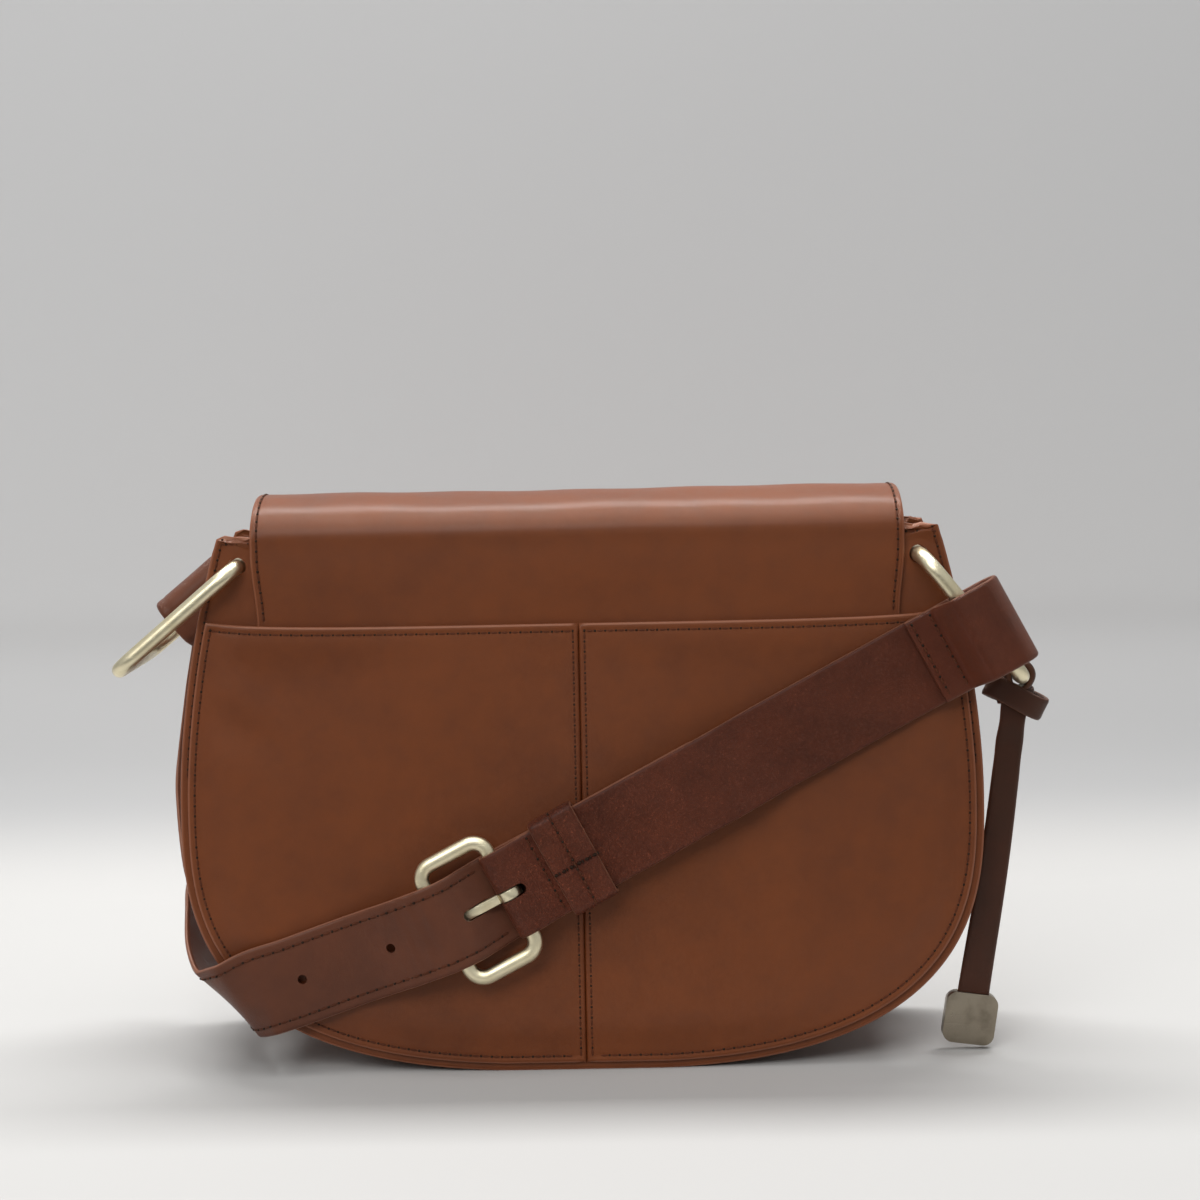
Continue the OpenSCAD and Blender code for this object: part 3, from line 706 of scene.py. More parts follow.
@dataclass(frozen=True)
class BagForm:
    """Outline, depth and sag that all of the bag's plies share."""

    half_w: float = 145.0
    top: float = 194.0
    widest_z: float = 97.0
    side_draw: float = 15.0
    side_power: float = 1.8
    power: float = 2.8
    foot_trim: float = 0.4
    base_half: float = 38.0
    top_half: float = 21.0
    panel_t: float = 2.0
    ply_gap: float = 0.1
    hole_x: float = 122.9
    hole_z: float = 183.3
    sag_depth: float = 1.5
    sag_half: float = 140.0
    sag_low: float = 4.0
    sag_high: float = 188.0

    @property
    def lean(self) -> float:
        """Slope of the panels."""
        return (self.base_half - self.top_half) / self.top

    def face_y(self, z: Array) -> Array:
        """Distance of a panel's outer face from the middle plane."""
        return self.base_half - self.lean * z

    def layer(self, out: int, deep: float) -> Surface:
        """Depth Y of a layer that lies inside the panels' faces, back (-1) or front (1)."""
        return lambda x, z: out * (self.face_y(z) - deep - self.sag(x, z))

    def corner(self, inset: float, turn: Array) -> tuple[Array, Array]:
        """Runs round the lower corner of the outline.

        Args:
            inset: Distance inside the outline.
            turn: Angle from the foot, in radians.

        Returns:
            The half width and the height.
        """
        share = 2 / self.power
        return ((self.half_w - inset) * np.sin(turn) ** share,
                inset + (self.widest_z - inset) * (1 - np.cos(turn) ** share))

    def lower(self, inset: float) -> Array:
        """Right lower quarter of the outline, foot to widest height."""
        x, z = self.corner(inset, np.radians(np.linspace(0, 90, 120)))
        return np.stack([x, np.maximum(inset, z - self.foot_trim)], axis=1)

    def side_x(self, z: Array, inset: float) -> Array:
        """Half width above the widest height."""
        part = np.clip((z - self.widest_z) / (self.top - self.widest_z), 0, 1)
        return self.half_w - inset - self.side_draw * part ** self.side_power

    def side(self, inset: float, top: float) -> Array:
        """Right side of the outline, widest height to top."""
        z = np.linspace(self.widest_z, top, 40)
        return np.stack([self.side_x(z, inset), z], axis=1)

    def right(self, inset: float, top: float) -> Array:
        """Right half of the outline, foot to top."""
        return np.concatenate([self.lower(inset), self.side(inset, top)[1:]])

    def sag(self, x: Array, z: Array) -> Array:
        """Works out the soft hollows of the leather, which die out at the edges.

        Args:
            x: Places across the bag.
            z: Heights.

        Returns:
            How far the leather has sunk inwards.
        """
        room = (np.clip(1 - np.abs(x / self.sag_half) ** 4, 0, 1)
                * ease((z - self.sag_low) / 45) * ease((self.sag_high - z) / 50))
        wave = (0.55 + 0.25 * np.sin(x / 31.0 + 0.6) * np.sin(z / 27.0 + 0.4)
                + Wave(0.20, 17.0, -23.0, 2.1).at(x, z))
        return self.sag_depth * room * wave


FORM = BagForm()


@dataclass
class Panels:
    """Back and front panels, with the ears that carry the rings."""

    hole_r: float = 3.4
    stitch_in: float = 2.5
    stitch_low: float = 108.0
    ear_x: float = 112.0
    ear_corner_x: float = 127.0
    ear_end_x: float = 116.5
    ear_low: float = 172.0
    uneven: float = 0.55
    lean_out: float = 0.45
    corner_drop: float = 1.1

    def relief(self, x: Array, z: Array, depth: Array) -> Array:
        """Shapes the rolled, puckered top of the ears and the dip under the edge stitching.

        Args:
            x: Places across the bag.
            z: Heights.
            depth: Distance from the edge.

        Returns:
            How far the outer face stands out.
        """
        ear = ease((np.abs(x) - self.ear_x) / 6) * ease((z - self.ear_low) / 8)
        roll = self.uneven * hump(z - 192.2, 1.5)
        pucker = 0.10 * np.sin(x * 1.65) * hump(z - 191.0, 2.2)
        return (roll + pucker) * ear - 0.22 * hump(depth - self.stitch_in, GROOVE)

    def wear(self, piece: Piece, out: int) -> None:
        """Makes the ears' top edge uneven and rounds its corners.

        Args:
            piece: The panel.
            out: -1 for the back, 1 for the front.
        """
        for vertex in piece.data.vertices:
            x, z = vertex.co.x / MM, vertex.co.z / MM
            near = float(ease((abs(x) - self.ear_x) / 5) * ease((z - 189.6) / 2.6))
            corner = float(ease((abs(x) - self.ear_corner_x) / 5) * ease((z - 190) / 3))
            wave = math.sin(1.1 * x + 2.0 * out) + 0.6 * math.sin(2.3 * x + out)
            vertex.co.z += MM * (self.uneven * near * wave - self.corner_drop * corner)
            vertex.co.y += MM * out * self.lean_out * near * math.sin(1.7 * x)

    def build(self, leather: Material) -> None:
        """Makes and dresses both panels, each with its two ring holes.

        Args:
            leather: Leather of the body.
        """
        right = FORM.right(0, FORM.top)
        left = mirrored(right)
        sides = [right, np.array([right[-1], left[0]]), left]
        for name, out in (("back", -1), ("front", 1)):
            piece = leather_ply(name + "_leather", sides, (0, FORM.widest_z),
                                FORM.layer(out, FORM.panel_t / 2), FORM.panel_t, out,
                                self.relief)
            self.wear(piece, out)
            y = out * (FORM.face_y(FORM.hole_z) - FORM.panel_t / 2)
            cut(piece, [peg(np.array([side * FORM.hole_x, y, FORM.hole_z]), [0, 1, 0],
                            self.hole_r, 12) for side in (-1, 1)])
            dress(piece, Body.BAG, Slot.BODY, [leather], [name + "_panel"])

    def stitches(self) -> Lines:
        """Rows along the ears' top and side edges, on both panels.

        Returns:
            Points of each row.
        """
        rows = []
        edge = FORM.side(self.stitch_in, FORM.top - self.stitch_in)
        edge = edge[edge[:, 1] > self.stitch_low]
        top = np.array([edge[-1], [self.ear_end_x, FORM.top - self.stitch_in]])
        for out in (-1, 1):
            face = FORM.layer(out, -0.02)
            for side in (-1, 1):
                for line in (edge, top):
                    x, z = resample(line, 2).T
                    rows.append(np.stack([x * side, face(x * side, z), z], axis=1))
        return rows


@dataclass
class Gusset:
    """Band round the sides and the foot, with flanges that are sewn to both panels."""

    thickness: float = 1.3
    seam_w: float = 4.5
    top: float = 176.0
    base_half: float = 62.0
    strip_gap: float = 0.2
    bow: float = 2.0

    def section(self, half: float, bend: float) -> tuple[Array, Array]:
        """Lays out the band's section, from one flange's edge to the other's.

        Args:
            half: Half of the depth between the panels.
            bend: How far the band bows inwards.

        Returns:
            The depths Y, and the distances outside the band's line.
        """
        flange = np.array([4.9, 4.4, 3.2, 2.0, 1.0]) - 0.2
        turn = np.radians([15, 40, 65, 85])
        out = np.r_[flange, 0.8 - 0.8 * np.sin(turn)]
        deep = np.r_[np.zeros(len(flange)), 0.9 - 0.9 * np.cos(turn)]
        part = np.linspace(-1, 1, 25)
        return (np.r_[deep - half, part * (half - 1.4), (half - deep)[::-1]],
                np.r_[out, -bend * (1 - part ** 2), out[::-1]])

    def strip(self, name: str, low: float, high: float) -> Piece:
        """Makes one strip of the band.

        Args:
            name: Name of the piece.
            low: Least X of the strip.
            high: Greatest X of the strip.

        Returns:
            The object.
        """
        right = FORM.right(self.seam_w + 0.8, self.top)
        line = resample(np.concatenate([mirrored(right), right[1:]]), 3.0)
        line = line[(line[:, 0] >= low - 3) & (line[:, 0] <= high + 3)]
        line[:, 0] = np.clip(line[:, 0], low, high)
        away = -left_of(unit(np.gradient(line, axis=0)))
        height = line[:, 1]
        half = FORM.face_y(height) - FORM.panel_t - FORM.ply_gap - self.thickness / 2
        bend = self.bow * ease((height - 6) / 60) * ease((self.top + 30 - height) / 60)
        rows = []
        for i, (x, z) in enumerate(line):
            y, out = self.section(half[i], bend[i])
            rows.append(np.stack([x + away[i, 0] * out, y, z + away[i, 1] * out], axis=1))
        grid = np.stack(rows)
        normal = unit(np.cross(np.gradient(grid, axis=1), np.gradient(grid, axis=0)))
        middle = normal[:, grid.shape[1] // 2]
        if (middle[:, 0] * away[:, 0] + middle[:, 2] * away[:, 1]).sum() < 0:
            normal = -normal
        skin = normal * self.thickness / 2
        return solid(name, (grid + skin).reshape(-1, 3), (grid - skin).reshape(-1, 3),
                     grid_patch(grid.shape[0], grid.shape[1]), bulge=0.1)

    def build(self, leather: Material) -> None:
        """Makes and dresses the three strips.

        Args:
            leather: Leather of the body.
        """
        end, reach = self.base_half + self.strip_gap / 2, 200
        for name, low, high in (("gusset_left", -reach, -end),
                                ("gusset_base", -end + self.strip_gap, end - self.strip_gap),
                                ("gusset_right", end, reach)):
            dress(self.strip(name + "_leather", low, high), Body.BAG, Slot.BODY, [leather],
                  [name])


@dataclass
class BackPocket:
    """Slip pocket on the back, sewn from two halves with a centre seam."""

    inset: float = 3.0
    thickness: float = 1.6
    slot: float = 2.0
    hem_z: float = 161.0
    hem_rise: float = 4.0
    hem_power: float = 6.0
    corner_z: float = 164.0
    seam_gap: float = 0.3
    edge_stitch: float = 2.4
    seam_stitch: float = 2.05
    hem_stitch: float = 2.7
    left_folds: tuple = (Spot(-127, 128, 15, 17), Wave(0.55, 4.6 / 0.6, 4.6))
    right_folds: tuple = (Spot(122, 70, 14, 20), Wave(0.30, -6.1, 6.1))
    waves: tuple = (Wave(0.38, 23.0, 61.0, 0.6), Wave(0.25, -47.0, 19.0))

    def hem(self, x: Array) -> Array:
        """Height of the hem."""
        return self.hem_z + self.hem_rise * (np.abs(x) / FORM.half_w) ** self.hem_power

    def outline(self) -> Lines:
        """Right half: lower curve and side, hem, and centre seam.

        Returns:
            The three lines.
        """
        seam = self.seam_gap / 2
        lower = FORM.lower(self.inset)
        lower = lower[lower[:, 0] > seam + 0.5]
        side = FORM.side(self.inset, FORM.top)
        side = side[side[:, 1] < self.hem(side[:, 0]) - 0.3]
        corner_x = float(FORM.side_x(np.array(self.corner_z), self.inset))
        x = np.linspace(corner_x, seam, 60)
        hem = np.stack([x, self.hem(x)], axis=1)
        right = np.concatenate([[[seam, self.inset]], lower, side[1:], hem[:1]])
        return [right, hem, np.array([hem[-1], right[0]])]

    def from_edge(self, x: Array, z: Array) -> Array:
        """Measures from the edge that is sewn down.

        Args:
            x: Places across the bag.
            z: Heights.

        Returns:
            The distance of each point.
        """
        line = resample(FORM.right(self.inset, FORM.top), 0.7)
        x, z = np.abs(np.atleast_1d(x)), np.atleast_1d(z)
        near = np.full(x.shape, np.inf)
        for start in range(0, len(line), 64):
            part = line[start:start + 64]
            gap = np.hypot(x[:, None] - part[None, :, 0], z[:, None] - part[None, :, 1])
            near = np.minimum(near, gap.min(axis=1))
        return near

    def level(self, x: Array, z: Array) -> Array:
        """Depth Y of the pocket's middle, which stands off the back inside its edge."""
        lift = self.slot * ease((self.from_edge(x, z) - 3.0) / 14.0)
        return FORM.layer(-1, -(FORM.ply_gap + self.thickness / 2 + lift))(x, z)

    def relief(self, x: Array, z: Array, depth: Array) -> Array:
        """Shapes folds, waves, the dips along the stitching and the turned centre seam.

        Args:
            x: Places across the bag.
            z: Heights.
            depth: Distance from the ply's edge.

        Returns:
            How far the outer face stands out.
        """
        edge, seam, under_hem = self.from_edge(x, z), np.abs(x), self.hem(x) - z
        shape = sum(spot.at(x, z) * wave.at(x, z)
                    for spot, wave in (self.left_folds, self.right_folds))
        shape = shape + sum(wave.at(x, z) for wave in self.waves) - 0.4
        inside = ease((edge - 4) / 14) * ease((under_hem - 5) / 12) * ease((seam - 4) / 16)
        return (shape * inside - 0.28 * hump(edge - self.edge_stitch, GROOVE)
                - 0.30 * hump(seam, 0.45) - 0.20 * hump(seam - self.seam_stitch, 0.6)
                + 0.12 * hump(seam - 1.1, 0.7) * (seam > 0.4)
                - 0.18 * hump(under_hem - self.hem_stitch, GROOVE))

    def build(self, leather: Material) -> None:
        """Makes and dresses both halves.

        Args:
            leather: Leather of the body.
        """
        for name, side in (("pocket_right", 1), ("pocket_left", -1)):
            piece = leather_ply(name + "_leather", [line * [side, 1] for line in self.outline()],
                                (side * 62, 84), self.level, self.thickness, -1, self.relief,
                                painted=0.5, bare_half=3)
            dress(piece, Body.BAG, Slot.BODY, [leather], [name])

    def stitches(self) -> Lines:
        """Rows along the sewn edge, both sides of the centre seam and under the hem.

        Returns:
            Points of each row.
        """
        rows = []
        edge = FORM.right(self.inset + self.edge_stitch, FORM.top)
        edge = edge[(edge[:, 1] < self.hem_z - 1.5) & (edge[:, 0] > self.seam_stitch)]
        seam_z = np.linspace(self.inset + 3.5, self.hem_z - 4.5, 80)
        seam = np.stack([np.full(80, self.seam_stitch), seam_z], axis=1)
        hem_x = np.linspace(self.seam_stitch + 2,
                            FORM.side_x(np.array(160.0), self.inset) - 4, 70)
        hem = np.stack([hem_x, self.hem(hem_x) - self.hem_stitch], axis=1)
        for side in (-1, 1):
            for line in (edge, seam, hem):
                x, z = resample(line * [side, 1], 2.0).T
                y = self.level(x, z) - self.thickness / 2 + 0.26
                rows.append(np.stack([x, y, z], axis=1))
        return rows


@dataclass
class Inside:
    """Facings in the mouth, lining, inner pocket and stiffening board."""

    facing_t: float = 1.2
    facing_half: float = 114.0
    lining_t: float = 0.8
    lining_inset: float = 8.4
    lining_top: float = 158.0
    lining_corner: float = 7.0
    pocket_half: float = 70.0
    pocket_low: float = 52.0
    pocket_top: float = 142.0
    board_t: float = 1.4
    board_half: float = 72.0
    board_half_depth: float = 29.0
    board_inset: float = 6.2

    def facings(self, leather: Material) -> None:
        """Makes and dresses both leather facings.

        Args:
            leather: Leather of the body.
        """
        deep = FORM.panel_t + FORM.ply_gap + self.facing_t / 2
        box = rounded_box((-self.facing_half, self.lining_top),
                          (self.facing_half, FORM.top - FORM.ply_gap), 3.0, 7)
        for name, out in (("facing_back", -1), ("facing_front", 1)):
            piece = leather_ply(name + "_leather", [box], (0, 176), FORM.layer(out, deep),
                                self.facing_t, -out)
            dress(piece, Body.BAG, Slot.BODY, [leather], [name])

    def ring(self, x: float, z: float, shrink: float) -> Array:
        """Lays out one level of the lining.

        Args:
            x: Half width at this level.
            z: The level's height.
            shrink: Distance inside the lining's outer face.

        Returns:
            Points round the cup.
        """
        half_x = x - shrink
        half_y = FORM.face_y(z) - FORM.panel_t - self.facing_t - 2 * FORM.ply_gap - shrink
        loop = resample(rounded_box((-half_x, -half_y), (half_x, half_y),
                                    min(self.lining_corner, half_x * 0.6), 6), 1.0)
        steps = np.linspace(0, len(loop) - 1, 121)[:-1]
        px, py = (np.interp(steps, np.arange(len(loop)), loop[:, k]) for k in (0, 1))
        sink = FORM.sag(px, np.full(len(px), z)) * np.sign(py)
        level = z + shrink if z < 40 else z
        return np.stack([px, py - np.where(np.abs(py) > half_y - 2, sink, 0),
                         np.full(len(px), level)], axis=1)

    def lining_cup(self) -> Piece:
        """The lining: a deep cloth cup, open at the top.

        Returns:
            The object.
        """
        outline = resample(FORM.right(self.lining_inset, self.lining_top - FORM.ply_gap), 4.0)
        outline = outline[outline[:, 0] > 14]
        faces = []
        for shrink in (0.0, self.lining_t):
            grid = np.stack([self.ring(x, z, shrink) for x, z in outline[::-1]])
            faces.append(np.concatenate([grid.reshape(-1, 3), grid[-1].mean(axis=0)[None]]))
        return solid("lining_cloth", faces[0], faces[1], disc_patch(len(outline), 120),
                     bulge=0.05)

    def inner_pocket(self) -> Piece:
        """The slip pocket on the lining's back.

        Returns:
            The object.
        """
        deep = FORM.panel_t + self.facing_t + 3 * FORM.ply_gap + 1.5 * self.lining_t
        box = rounded_box((-self.pocket_half, self.pocket_low),
                          (self.pocket_half, self.pocket_top), 3.0, 7)
        return leather_ply("inner_pocket_cloth", [box], (0, 97), FORM.layer(-1, deep),
                           self.lining_t, 1)

    def board(self) -> Piece:
        """The stiffening board, bent to the foot's curve.

        Returns:
            The object.
        """
        line = FORM.right(self.board_inset + self.board_t / 2, 60)
        line = resample(line[line[:, 0] < self.board_half], 3.0)
        line = np.concatenate([mirrored(line), line[1:]])
        middle = np.stack([line[:, 0], np.zeros(len(line)), line[:, 1]], axis=1)
        return ribbon("base_board_cloth", middle, np.array([0, 1.0, 0]),
                      2 * self.board_half_depth, self.board_t)

    def build(self, leather: Material, cloth: Material, board: Material) -> None:
        """Makes and dresses everything inside.

        Args:
            leather: Leather of the facings.
            cloth: Cloth of the lining and its pocket.
            board: Cloth over the board.
        """
        self.facings(leather)
        dress(self.lining_cup(), Body.BAG, Slot.LINING, [cloth], ["lining"])
        dress(self.inner_pocket(), Body.BAG, Slot.LINING, [cloth], ["inner_pocket"])
        dress(self.board(), Body.BAG, Slot.BOARD, [board], ["base_board"])


@dataclass
class FlapLine:
    """The flap's outer face at one place across it, from the tail to the front's edge."""

    x: Array
    yz: Array
    thick: Array
    normal: Array
    run: Array

    def raised(self, lift: Array) -> Array:
        """Points that stand off the face by a distance."""
        return np.column_stack([self.x, self.yz + self.normal * lift[:, None]])


@dataclass
class Flap:
    """Flap with its tail: out of the back pocket, over the crest and down the front."""

    half: float = 117.5
    tail_low: float = 118.0
    hinge_y: float = -22.9505
    hinge_z: float = 190.0
    crest_y: float = 1.662
    crest_z: float = 192.0
    crest_a: float = 25.4
    crest_b: float = 16.0
    front_gap: float = 5.9
    low: float = 62.0
    round_z: float = 132.0
    power: float = 2.5
    tail_t: float = 1.6
    front_t: float = 2.5
    stitch_in: float = 2.3
    bend_lean: float = 18.0
    bend_start: float = -1.5
    bend_end: float = 3.5
    tail_rows: int = 24
    lined_row: int = 32
    pocket_run: float = 35.0
    stitch_run: float = 47.0

    def front_z(self, part: Array, inset: float = 0.0) -> Array:
        """Height of the front's lower edge at a share of its half width."""
        reach = self.round_z - self.low - inset
        return self.round_z - reach * (1 - part ** self.power) ** (1 / self.power)

    def line(self, share: float, front: Array) -> FlapLine:
        """Lays out the flap's outer face at one place across it.

        Args:
            share: The place, as a share of the flap's half width.
            front: Heights of the front rows.

        Returns:
            The face's line.
        """
        z = np.linspace(self.tail_low, self.hinge_z, self.tail_rows)
        off = glide(1.7, 2.4, (z - 158) / 30)
        sag = FORM.sag(np.full(len(z), share * self.half), z)
        tail = np.stack([-(FORM.face_y(z) + off) + sag, z, np.full(len(z), self.tail_t)], axis=1)
        turn = np.linspace(0, np.pi, 45)
        crest = np.stack([self.crest_y - self.crest_a * np.cos(turn),
                          self.crest_z + self.crest_b * np.sin(turn),
                          glide(self.tail_t, self.front_t, (np.degrees(turn) - 10) / 30)],
                         axis=1)
        leaf = np.stack([FORM.face_y(front) + self.front_gap, front,
                         np.full(len(front), self.front_t)], axis=1)
        path = np.concatenate([tail, crest, leaf])
        height = path[:, 1]
        narrow = 2.0 * ease((188 - height) / 26) + 3.0 * ease((158 - height) / 12)
        narrow[self.tail_rows:] = 0
        return FlapLine(share * (self.half - narrow), path[:, :2], path[:, 2],
                        left_of(unit(np.gradient(path[:, :2], axis=0))), run_along(path[:, :2]))

    def ripple(self, x: Array, run: Array) -> Array:
        """Shapes soft waves over the crest, where the leather has been bent for years.

        Args:
            x: Places across the flap.
            run: Distances from the tail's end.

        Returns:
            How far the outer face stands out.
        """
        down = ease((run - 120) / 60)
        wave = (0.34 * np.sin(x / 15.0 + 0.7) * hump(run - 92, 12)
                + Wave(0.22, 6.7, 9.0, 1.9).at(x, run) + Wave(0.30, 27.0, -14.0, 0.3).at(x, run))
        long = 0.45 * np.sin(x / 38 + 1.2) * down
        return (wave - 0.35) * hump(run - 108, 26) * 0.7 + (long - 0.45) * 0.8 * down

    def build(self, leather: Material, lining: Material) -> None:
        """Makes and dresses the flap, which is left on no body.

        Args:
            leather: Leather of the outer face.
            lining: Skin that lines the front.
        """
        inner_columns = np.linspace(FRINGE[-1], self.half, 25)[1:]
        left = (np.r_[FRINGE, inner_columns] - self.half) / self.half
        outer, inner, paint = [], [], []
        for share in np.r_[left, -left[::-1][1:]]:
            foot = float(self.front_z(abs(share)))
            front = foot + FRINGE[::-1]
            line = self.line(share, np.r_[np.linspace(self.crest_z, front[0], 36)[1:-1], front])
            to_foot = line.run[-1] - line.run
            side = (1 - abs(share)) * self.half
            near = np.minimum(side, to_foot)
            wave = self.ripple(line.x, line.run)
            soft = line.thick / 2 * (1 - rounded(near))
            free = line.run > self.pocket_run
            groove = (hump(side - self.stitch_in, GROOVE) * free
                      + hump(to_foot - self.stitch_in, GROOVE))
            outer.append(line.raised(wave - 0.25 * groove - soft))
            inner.append(line.raised(wave + soft - line.thick))
            paint.append(painted_edge(near, 0.55) * free)
        outer, inner = np.stack(outer, axis=1), np.stack(inner, axis=1)
        rows, columns = outer.shape[:2]
        patch = grid_patch(rows, columns)
        lined = [int(i // (columns - 1) > self.lined_row) for i in range(len(patch.faces))]
        piece = solid("flap_leather", outer.reshape(-1, 3), inner.reshape(-1, 3), patch,
                      paint=np.stack(paint, axis=1).ravel(), inner_marks=lined)
        self.bend(piece)
        dress(piece, None, Slot.BODY, [leather, lining], ["flap_tail", "flap", "flap_lining"])

    def bend(self, piece: Piece) -> None:
        """Bakes a piece's transform into its mesh, which stays on no body.

        Args:
            piece: The flap's leather, or its stitches.
        """
        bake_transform(piece)

    def stitches(self) -> Lines:
        """Rows along the sides, over the crest, and round the lower edge of the front.

        Returns:
            Points of each row.
        """
        rows = []
        front = np.linspace(self.crest_z, self.round_z, 30)[1:]
        for side in (-1, 1):
            line = self.line(side * (1 - self.stitch_in / self.half), front)
            lift = self.ripple(line.x, line.run) - 0.08
            # The row keeps its distance from the edge where the tail narrows.
            line.x = line.x / (1 - self.stitch_in / self.half) - side * self.stitch_in
            rows.append(line.raised(lift)[line.run > self.stitch_run])
        ratio = np.sin(np.radians(np.linspace(-90, 90, 160)))
        z = self.front_z(np.abs(ratio), self.stitch_in)
        y = FORM.face_y(z) + self.front_gap - 0.75
        rows.append(np.stack([(self.half - self.stitch_in) * ratio, y, z], axis=1))
        return [resample(row, 2.0) for row in rows]


@dataclass
class MetalSnap:
    """Magnetic snap: both halves and the washer behind the front panel."""

    round_over: float = 0.35
    washer_round_over: float = 0.15

    def build(self, brass: Material, nickel: Material) -> None:
        """Makes and dresses the three pieces.

        Args:
            brass: Metal of both halves.
            nickel: Metal of the washer.
        """
        for node, body, slot, material, width in (
                ("snap_male", Body.FLAP, Slot.BRASS, brass, self.round_over),
                ("snap_female", Body.BAG, Slot.BRASS, brass, self.round_over),
                ("snap_washer", Body.BAG, Slot.NICKEL, nickel, self.washer_round_over)):
            dress(bevelled(node + "_metal", node, width), body, slot, [material], [node])


@dataclass
class SideRings:
    """Two rounded-rectangle rings of pale gold wire, hanging outwards from their holes."""

    length: float = 57.0
    width: float = 64.3737
    corner: float = 8.5
    wire_r: float = 2.8
    shift: float = 3.1492
    left_fall: float = 40.0
    right_fall: float = 51.0

    def build(self, brass: Material) -> None:
        """Makes and dresses both rings.

        Args:
            brass: Metal of the wire.
        """
        flat = wire_path(self.length, self.width, self.corner)
        for name, side, fall, body in (
                ("ring_left", -1, self.left_fall, Body.LEFT_RING),
                ("ring_right", 1, self.right_fall, Body.RIGHT_RING)):
            down = math.radians(fall)
            arm = np.array([side * math.cos(down), 0, -math.sin(down)])
            start = np.array([side * FORM.hole_x, -side * self.shift, FORM.hole_z])
            path = start + flat[:, :1] * arm + flat[:, 1:] * np.array([0, 1.0, 0])
            piece = tube(name + "_wire", path, np.cross(arm, [0, 1.0, 0]), self.wire_r, 28)
            dress(piece, body, Slot.BRASS, [brass], [name])


# ---- Strap


@dataclass(frozen=True)
class StrapRoute:
    """Route and heights of the strap's plies over the pocket, as in the CAD model."""

    width: float = 32.0
    thickness: float = 2.2
    rise: float = 27.8
    heel_x: float = -26.0
    heel_z: float = 66.2
    pocket_n: float = 3.6
    lie: float = 1.4
    tip_heel: float = 1.7
    main_heel: float = 4.05
    tab_heel: float = 10.95
    heel_n: float = 7.5
    far_n: float = 6.467
    over_n: float = 10.217
    tip_keep: float = 3.35
    main_keep: float = 5.7
    tab_keep: float = 8.05
    hold: float = 2.4
    settle: float = 14.0
    tip_l: float = 82.0
    tip_clear: float = 2.0
    main_settle: float = 26.0
    buckle_l: float = 26.0
    buckle_r: float = 2.2
    flat_end: float = 19.0
    bend_rise: float = 11.3
    bend_l: float = 81.0
    bend_power: float = 1.2

    @property
    def origin(self) -> Array:
        """Point of the pocket's face under the buckle's heel bar."""
        return np.array([self.heel_x, -float(FORM.face_y(self.heel_z)) - self.pocket_n,
                         self.heel_z])

    @property
    def axes(self) -> tuple[Array, Array, Array]:
        """Directions along the strap, across it and away from the bag.

        Returns:
            The three directions.
        """
        lean, rise = math.atan(FORM.lean), math.radians(self.rise)
        up = np.array([0, math.sin(lean), math.cos(lean)])
        right = np.array([1.0, 0, 0])
        return (math.cos(rise) * right + math.sin(rise) * up,
                math.cos(rise) * up - math.sin(rise) * right,
                np.array([0, -math.cos(lean), math.sin(lean)]))

    def at(self, u: Array | float, n: Array | float, v: Array | float = 0.0) -> Array:
        """Finds points near the strap.

        Args:
            u: Places along the strap, from the heel bar.
            n: Heights over the pocket's face.
            v: Places across the strap.

        Returns:
            The points.
        """
        along, across, away = self.axes
        u, n, v = np.broadcast_arrays(np.asarray(u, float), n, v)
        return self.origin + u[..., None] * along + v[..., None] * across + n[..., None] * away

    def main_n(self, u: Array) -> Array:
        """Works out the fixed ply's height, which sinks past the punched end's tip.

        Args:
            u: Places along the strap.

        Returns:
            The heights.
        """
        end = self.tip_l + self.tip_clear
        near = glide(self.main_heel, self.main_keep, (u - self.hold) / self.settle)
        far = glide(self.main_keep, self.lie, (u - end) / self.main_settle)
        return np.where(u < end, near, far)

    def tab_n(self, u: Array) -> Array:
        """Height of the turned tab at the buckle."""
        return glide(self.tab_heel, self.tab_keep, (u - self.hold) / self.settle)

    def punched_n(self, u: Array) -> Array:
        """Takes the punched end under the plies, over the far bar and down again.

        Args:
            u: Places along the strap.

        Returns:
            Its heights.
        """
        inner = glide(self.tip_heel, self.tip_keep, (u - self.hold) / self.settle)
        rising = glide(self.tip_heel, self.over_n,
                       (-u - self.buckle_r) / (self.buckle_l - self.buckle_r))
        falling = glide(self.over_n, self.lie,
                        (-u - self.buckle_l) / (self.buckle_l + self.settle))
        return np.where(u > 0, inner, np.where(u > -self.buckle_l, rising, falling))

    def bend(self, u: Array) -> tuple[Array, Array]:
        """How far the strap has risen across its straight line, and the slope of that rise."""
        part = np.maximum(0, -u - self.flat_end) / self.bend_l
        return (self.bend_rise * part ** self.bend_power,
                self.bend_power * self.bend_rise / self.bend_l * part ** (self.bend_power - 1))


ROUTE = StrapRoute()


def slot_tool(u: float, length: float, width: float) -> Piece:
    """Makes a long round-ended cutter through the strap's plies.

    Args:
        u: Its middle along the strap.
        length: Length of the slot.
        width: Width of the slot.

    Returns:
        The closed tool.
    """
    r = width / 2
    arc = np.radians(np.linspace(-90, 90, 11))
    right = np.stack([length / 2 - r + r * np.cos(arc), r * np.sin(arc)], axis=1)
    x, v = np.concatenate([right, -right]).T
    return cutter(ROUTE.at(u + x, -1.0, v), ROUTE.at(u + x, 14.0, v))


